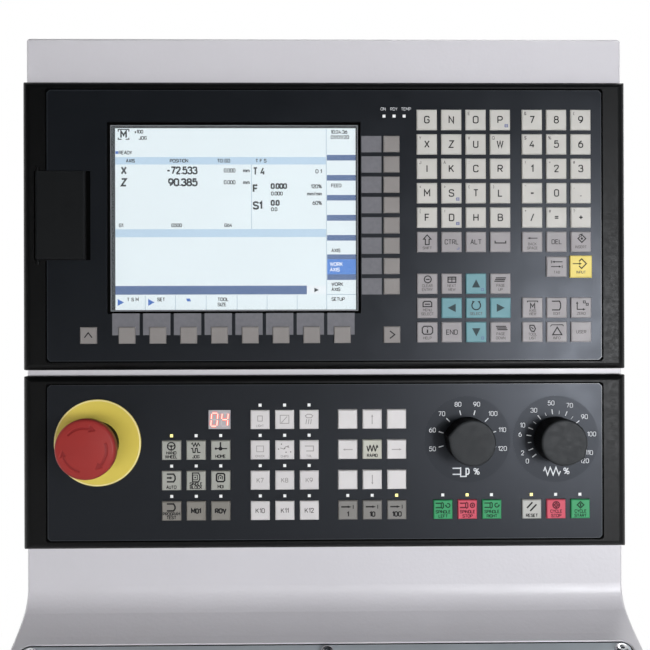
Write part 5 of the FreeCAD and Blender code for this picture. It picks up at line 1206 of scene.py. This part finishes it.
def islands(mesh):
    """The connected groups of a mesh's vertices. Those at one place count as one."""
    places = {}
    groups = [places.setdefault(tuple(round(part, 5) for part in vertex.co), vertex.index)
              for vertex in mesh.vertices]

    def root(number):
        while groups[number] != number:
            number = groups[number]
        return number

    for edge in mesh.edges:
        first, second = (root(number) for number in edge.vertices)
        groups[first] = second
    found = {}
    for vertex in mesh.vertices:
        found.setdefault(root(vertex.index), []).append(vertex.co.copy())
    return list(found.values())


def middle_of(points):
    """The middle of the box round some points."""
    return Vector([(min(part) + max(part)) / 2 for part in zip(*points)])


def screw_rows():
    """The screw's rings from its tip to the floor of its socket, as (radius, height, hexagonal)."""
    rows = [(SHANK, -SCREW_LONG, False), (SHANK, -0.1, False), (SCREW_HEAD - 0.15, 0.0, False)]
    rise = SCREW_HIGH - SCREW_EDGE
    for step in range(8):
        share = step / 7
        radius = SCREW_HEAD + (SCREW_CROWN - SCREW_HEAD) * share ** 1.6
        rows.append((radius, SCREW_EDGE + rise * math.sin(math.pi / 2 * share), False))
    rows.append((SCREW_SOCKET + 0.12, SCREW_HIGH, True))
    rows.append((SCREW_SOCKET, SCREW_HIGH - 0.12, True))
    rows.append((SCREW_SOCKET, SCREW_HIGH - SCREW_SOCKET_DEEP, True))
    return rows


def add_screw(seat, up, vertices, faces):
    """Adds a screw whose head sits at a place, with its axis along a direction."""
    across = Vector((1.0, 0.0, 0.0))
    beside = up.cross(across)
    start = len(vertices)
    rows = screw_rows()
    for radius, height, hexagonal in rows:
        for turn in around(SCREW_SIDES):
            sector = (turn + math.pi / 6) % (math.pi / 3) - math.pi / 6
            reach = radius * (math.cos(math.pi / 6) / math.cos(sector) if hexagonal else 1.0)
            out = across * math.cos(turn) + beside * math.sin(turn)
            vertices.append(seat + (out * reach + up * height) * MM)
    faces += ring_quads(len(rows), SCREW_SIDES, start=start)
    faces.append([start + step for step in range(SCREW_SIDES)][::-1])
    faces.append([start + (len(rows) - 1) * SCREW_SIDES + step for step in range(SCREW_SIDES)])


vertices, faces = [], []
for points in islands(NODES["cover_screws"].data):
    up = DESK_UP if middle_of(points).y < 0.0 else REAR_UP
    top = max(point.dot(up) for point in points)
    crown = middle_of([point for point in points if top - point.dot(up) < 0.01 * MM])
    add_screw(crown - up * SCREW_HIGH * MM, up, vertices, faces)
screws = piece("button_screws", vertices, faces, FINISH["chrome_screw"], "console")
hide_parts("cover_screws")
soften(screws, 40.0)

# The knobs: drop-shaped, ribbed round the side, with an eased edge and a grey cap, the side near-black as painted
# shade

KNOB_RADIUS = 15.65
KNOB_NOSE = 17.3
KNOB_LOW = 0.6
KNOB_TOP = 21.6
KNOB_EDGE = 1.5
KNOB_SHAFT = 3.0
KNOB_STEPS = 240
RIB_STEPS = 4
RIB_DEEP = 0.3


def knob_reach(turn):
    """How far out the drop-shaped outline lies, by degrees from its nose."""
    tangent = math.acos(KNOB_RADIUS / KNOB_NOSE)
    off = abs(math.radians((turn + 180.0) % 360.0 - 180.0))
    return KNOB_RADIUS / math.cos(tangent - off) if off < tangent else KNOB_RADIUS


def knob_rows():
    """The knob's rings from its shaft's end to its cap: (inset or None for the shaft, height, ribbed)."""
    rows = [(None, KNOB_LOW, False), (0.3, KNOB_LOW, False), (0.0, KNOB_LOW + 0.3, False),
            (0.0, KNOB_LOW + 1.5, False), (0.0, KNOB_LOW + 1.6, True), (0.0, KNOB_TOP - 3.0, True),
            (0.0, KNOB_TOP - 2.9, False)]
    for step in range(7):
        turn = math.pi / 2 * step / 6
        rows.append((KNOB_EDGE * (1 - math.cos(turn)), KNOB_TOP - KNOB_EDGE * (1 - math.sin(turn)), False))
    return rows + [(inset, KNOB_TOP, False) for inset in (4.5, 9.0)]


for node_name, (x, z), rest in (("spindle_override_knob", DIALS[0], 165.0),
                                ("feed_override_knob", DIALS[1], -37.5)):
    shaft_end = (OVERLAY_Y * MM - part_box(node_name)[1][1]) / MM
    rows = [(None, shaft_end, False)] + knob_rows()
    vertices = []
    for inset, height, ribbed in rows:
        for step in range(KNOB_STEPS):
            turn = 360.0 * step / KNOB_STEPS
            reach = KNOB_SHAFT if inset is None else knob_reach(turn) * (1 - inset / KNOB_RADIUS)
            if ribbed and step % RIB_STEPS >= RIB_STEPS // 2:
                reach -= RIB_DEEP
            c, s = math.cos(math.radians(turn + rest)), math.sin(math.radians(turn + rest))
            vertices.append(((x + reach * c) * MM, (OVERLAY_Y - height) * MM, (z + reach * s) * MM))
    faces = ring_quads(len(rows), KNOB_STEPS)
    # The side faces get the near-black finish and the cap the grey one: the side's darkness is painted shade
    sides = [int(row[1] < KNOB_TOP - KNOB_EDGE + 0.5) for row in rows[1:] for _ in range(KNOB_STEPS)]
    faces.append(list(range(KNOB_STEPS))[::-1])
    faces.append([(len(rows) - 1) * KNOB_STEPS + step for step in range(KNOB_STEPS)])
    faces = [tuple(face[::-1]) for face in faces]
    made = piece(node_name + "_drop", vertices, faces, [FINISH["knob_plastic"], FINISH["knob_side"]],
                 node_name, sides + [1, 0])
    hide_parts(node_name)
    soften(made, 40.0)

# The emergency stop's disc, round, with an eased edge whose pale rows are a painted highlight

DISC_LOW, DISC_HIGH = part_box("estop_plate")
DISC_RADIUS, DISC_BORE = 30.0, 11.2
DISC_STEPS = 160
DISC_HIGHLIGHT_ROWS = (2, 3, 4)  # of the rows below
disc_front, disc_back = DISC_LOW[1] / MM, DISC_HIGH[1] / MM
disc_rows = [(DISC_BORE, disc_back), (DISC_BORE, disc_front + 0.05), (28.9, disc_front + 0.05), (29.1, disc_front),
             (29.5, disc_front + 0.06), (29.8, disc_front + 0.22), (DISC_RADIUS, disc_front + 0.5),
             (DISC_RADIUS, disc_back)]
vertices = [((ESTOP_AT[0] + radius * math.cos(turn)) * MM, y * MM, (ESTOP_AT[1] + radius * math.sin(turn)) * MM)
            for radius, y in disc_rows for turn in around(DISC_STEPS)]
faces = [quad[::-1] for quad in ring_quads(len(disc_rows), DISC_STEPS, closed=True)]
# The pale rows of the eased edge are a painted highlight
sides = [int(row in DISC_HIGHLIGHT_ROWS) for row in range(len(disc_rows)) for _ in range(DISC_STEPS)]
disc_piece = piece("estop_disc", vertices, faces, [FINISH["yellow_plastic"], FINISH["disc_edge"]], "console",
                   sides)
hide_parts("estop_plate")
soften(disc_piece, 30.0)

# Thin trim: masks round the indicators, the joints of the overlays, painted highlights along the overlays' edges
# and round the screen's rim, painted shade on the screen's bevel, and the flap's painted shadow gap

LED_PROUD = 0.15
MASK_SIDE, MASK_WIDE = 1.3, 0.55
JOINT_INSET, JOINT_WIDE = 0.1, 1.0
# The pale lines inside the overlays' edges are a painted highlight, as of light catching the edges
HIGHLIGHT_INSET, HIGHLIGHT_WIDE = 0.8, 0.28
OVERLAY_EASE = 2.0
FLAP_GAP = (341.5, 404.1)  # where the flap interrupts the upper overlay's joint
SHADE_BOX = (-165.7, -162.4, 341.4, 404.2)
SHADE_Y = -21.6
WINDOW = (-150.9, 24.6, OPERATOR_Z - 61.1, OPERATOR_Z + 71.8)  # the screen's opening
WINDOW_Y = (-22.9, -20.8)  # where its bevel lies
# The screen rim's painted highlight: its inset, width and depth
RIM_INSET, RIM_WIDE = 2.1, 0.5
RIM_Y = -21.2


def rectangle(left, right, down, up):
    return [(left, down), (right, down), (right, up), (left, up)]


masks = Print()
for node_name in ("status_leds", "key_leds"):
    for points in islands(NODES[node_name].data):
        centre = middle_of(points) / MM
        masks.x, masks.z = centre.x, centre.z
        masks.line(rectangle(-MASK_SIDE, MASK_SIDE, -MASK_SIDE, MASK_SIDE), MASK_WIDE, True)
masks.make("led_masks", FINISH["overlay_film"], "console", OVERLAY_Y - LED_PROUD)
joints, edges = Print(), Print()
for node_name, gap in (("operator_overlay", FLAP_GAP), ("machine_overlay", None)):
    low, high = (Vector(corner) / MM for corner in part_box(node_name))
    for pen, inset, width in ((joints, JOINT_INSET, JOINT_WIDE), (edges, HIGHLIGHT_INSET, HIGHLIGHT_WIDE)):
        left, right, down, up = low.x + inset, high.x - inset, low.z + inset, high.z - inset
        ease = OVERLAY_EASE
        loop = [(left, down + ease), (left + ease, down), (right - ease, down), (right, down + ease),
                (right, up - ease), (right - ease, up), (left + ease, up), (left, up - ease)]
        if gap:
            pen.line([(left, gap[0])] + loop + [(left, gap[1])], width)
        else:
            pen.line(loop, width, True)
joints.make("overlay_joints", FINISH["joint_black"], "console", OVERLAY_Y)
edges.make("overlay_edge_highlights", FINISH["edge_light"], "console", OVERLAY_Y)

# A grey line round the screen's opening: a painted highlight on its bevel's edge
rim = Print()
left, right, down, up = WINDOW
rim.line(rectangle(left + RIM_INSET, right - RIM_INSET, down + RIM_INSET, up - RIM_INSET), RIM_WIDE, True)
rim.make("window_rim_highlight", FINISH["rim_grey"], "console", RIM_Y)
# The bevel of the screen's opening is given the matte black finish of the joints: painted shade in the recess
frame_mesh = NODES["operator_frame"].data
frame_mesh.materials.append(FINISH["joint_black"].material)
for polygon in frame_mesh.polygons:
    x, y, z = (part / MM for part in polygon.center)
    if left < x < right and down < z < up and WINDOW_Y[0] < y < WINDOW_Y[1]:
        polygon.material_index = 1
shade = Print()
shade.box(*SHADE_BOX)
shade.make("flap_shade", FINISH["joint_black"], "console", SHADE_Y)

# The rubber lip in the gap round the desk plate

LIP_CORNER = 5.0
LIP_GAP = 0.02
LIP_WIDE = 1.1
LIP_DEEP = 0.9
plate_points = [vertex.co.copy() for vertex in NODES["desk_plate"].data.vertices]
plate_top = max(point.dot(DESK_UP) for point in plate_points) - 0.1 * MM
side = max(point.x for point in plate_points)
first = min(point.dot(DESK_DOWN) for point in plate_points)
last = max(point.dot(DESK_DOWN) for point in plate_points)


def lip_loop(grow, height):
    """A rounded rectangle round the plate, larger by grow, at a height over its plane."""
    loop = []
    radius = LIP_CORNER + grow
    for corner, (right_way, down_way) in enumerate(((1, -1), (1, 1), (-1, 1), (-1, -1))):
        centre_x = right_way * (side / MM - LIP_CORNER)
        centre_down = (last if down_way > 0 else first) / MM - down_way * LIP_CORNER
        for step in range(7):  # a quarter of a circle
            turn = math.radians(-90.0 + 90.0 * corner + 15.0 * step)
            x = centre_x + radius * math.cos(turn)
            down = centre_down + radius * math.sin(turn)
            loop.append((DESK_DOWN * down + DESK_UP * height) * MM + DESK_UP * plate_top
                        + Vector((x * MM, 0.0, 0.0)))
    return loop


loops = [lip_loop(grow, height) for grow, height in ((LIP_GAP, 0.0), (LIP_WIDE, 0.0), (LIP_WIDE, -LIP_DEEP),
                                                     (LIP_GAP, -LIP_DEEP))]
lip = piece("desk_plate_lip", sum(loops, []), ring_quads(len(loops), len(loops[0]), closed=True),
            FINISH["black_rubber"], "console")
soften(lip)

# Stage, light and camera

CAMERA_AT = (-8.68, -618.0, 295.88)
CAMERA_TURN = (-0.0138, 0.0012, 0.0028)  # yaw, pitch and roll in radians
CAMERA_LENS = 47.49

camera_data = bpy.data.cameras.new("camera")
camera_data.lens = CAMERA_LENS
camera_data.clip_start = 0.01
camera = bpy.data.objects.new("camera", camera_data)
bpy.context.scene.collection.objects.link(camera)
yaw, pitch, roll = CAMERA_TURN
aim = (Matrix.Rotation(yaw, 4, "Z") @ Matrix.Rotation(pitch, 4, "X") @ Matrix.Rotation(roll, 4, "Y")
       @ Matrix.Rotation(math.pi / 2, 4, "X"))
camera.matrix_world = Matrix.Translation(Vector(CAMERA_AT) * MM) @ aim
bpy.context.scene.camera = camera


def lamp(name, place, target, size, power, colour=(1.0, 1.0, 1.0), shiny=True):
    """A soft rectangular lamp that looks at a target, in metres and watts. Gloss shows it if it is shiny."""
    data = bpy.data.lights.new(name, "AREA")
    data.shape = "RECTANGLE"
    data.size, data.size_y = size
    data.energy = power
    data.color = colour
    made = bpy.data.objects.new(name, data)
    bpy.context.scene.collection.objects.link(made)
    made.visible_glossy = shiny
    made.location = place
    made.rotation_mode = "QUATERNION"
    made.rotation_quaternion = (Vector(place) - Vector(target)).to_track_quat("Z", "Y")
    return made


MIDDLE = (0.0, 0.0, 0.25)
lamp("key_lamp", (0.62, -1.2, 0.28), MIDDLE, (0.3, 0.35), 7.0, (0.95, 0.97, 1.0))
lamp("front_lamp", (0.15, -2.0, 0.15), MIDDLE, (1.6, 0.4), 21.5, (1.0, 0.99, 0.98), shiny=False)
lamp("left_lamp", (-1.6, 0.6, 0.35), MIDDLE, (1.0, 0.8), 14.0, shiny=False)
lamp("back_lamp", (0.9, 1.6, 0.9), MIDDLE, (1.0, 0.8), 13.0)
lamp("top_lamp", (0.2, 0.9, 1.5), MIDDLE, (1.0, 0.8), 16.0)

# The world: white to the camera and behind the object, and for gloss a dim room in front of it, which
# is brighter towards the right and bluer

WHITE_LIGHT = (1.0, 1.0, 1.0, 1.0)
world = bpy.data.worlds.new("studio")
world.use_nodes = True
bpy.context.scene.world = world
world.node_tree.nodes.clear()
studio = Shading(world.node_tree)
towards = studio.axes("Generated")
by_camera, by_gloss = studio.ray_kinds()
soft = studio.node("Background", {"Color": (0.97, 0.98, 1.0, 1.0),
                                  "Strength": studio.ramp(towards[2], -0.3, 0.5, 0.25, 0.02)})[0]
room = studio.node("Background", {"Color": (0.8, 0.9, 1.0, 1.0),
                                  "Strength": studio.ramp(towards[0], -0.2, 0.6, 0.04, 0.14)})[0]
white = studio.node("Background", {"Color": WHITE_LIGHT})[0]
behind = studio.math("MULTIPLY", studio.ramp(towards[1], 0.1, 0.4, 0.0, 1.0),
                     studio.ramp(towards[2], 0.5, 0.9, 1.0, 0.85))
lit = studio.mix(by_gloss, soft, studio.mix(behind, room, white))
studio.node("OutputWorld", {"Surface": studio.mix(by_camera, lit, white)})

# The floor: pale, with the object's shadow beside it, and as white as the world further out

FLOOR_REACH = 6.0
NEAR_FLOOR = 0.6  # the share of plain white that the camera sees of the floor beside the object
floor_mesh = bpy.data.meshes.new("floor")
corners = ((-1, -1), (1, -1), (1, 1), (-1, 1))
floor_mesh.from_pydata([(x * FLOOR_REACH, y * FLOOR_REACH, 0) for x, y in corners], [], [(0, 1, 2, 3)])
floor = bpy.data.objects.new("floor", floor_mesh)
bpy.context.scene.collection.objects.link(floor)
floor_finish = bpy.data.materials.new("pale_floor")
floor_finish.use_nodes = True
floor_finish.node_tree.nodes.clear()
floor_mesh.materials.append(floor_finish)
ground = Shading(floor_finish.node_tree)
place = ground.axes("Object")
by_camera, by_gloss = ground.ray_kinds()
beside, along = (ground.math("ABSOLUTE", place[axis], 0.0) for axis in (0, 1))
away = ground.math("MAXIMUM", ground.ramp(beside, 0.23, 0.31, 0.0, 1.0), ground.ramp(along, 0.18, 0.30, 0.0, 1.0))
at_back = ground.math("MULTIPLY", by_gloss, ground.ramp(place[1], 0.0, 0.2, 0.0, 1.0))
paint = ground.node("BsdfDiffuse", {"Color": tone(246, 246, 247)})[0]
bright = ground.node("Emission", {"Strength": 1.0})[0]
shown = ground.ramp(away, 0.0, 1.0, NEAR_FLOOR, 1.0)
factor = ground.math("MAXIMUM", ground.math("MULTIPLY", by_camera, shown), ground.math("MULTIPLY", at_back, away))
ground.node("OutputMaterial", {"Surface": ground.mix(factor, paint, bright)})

bpy.context.scene.view_settings.view_transform = "Standard"
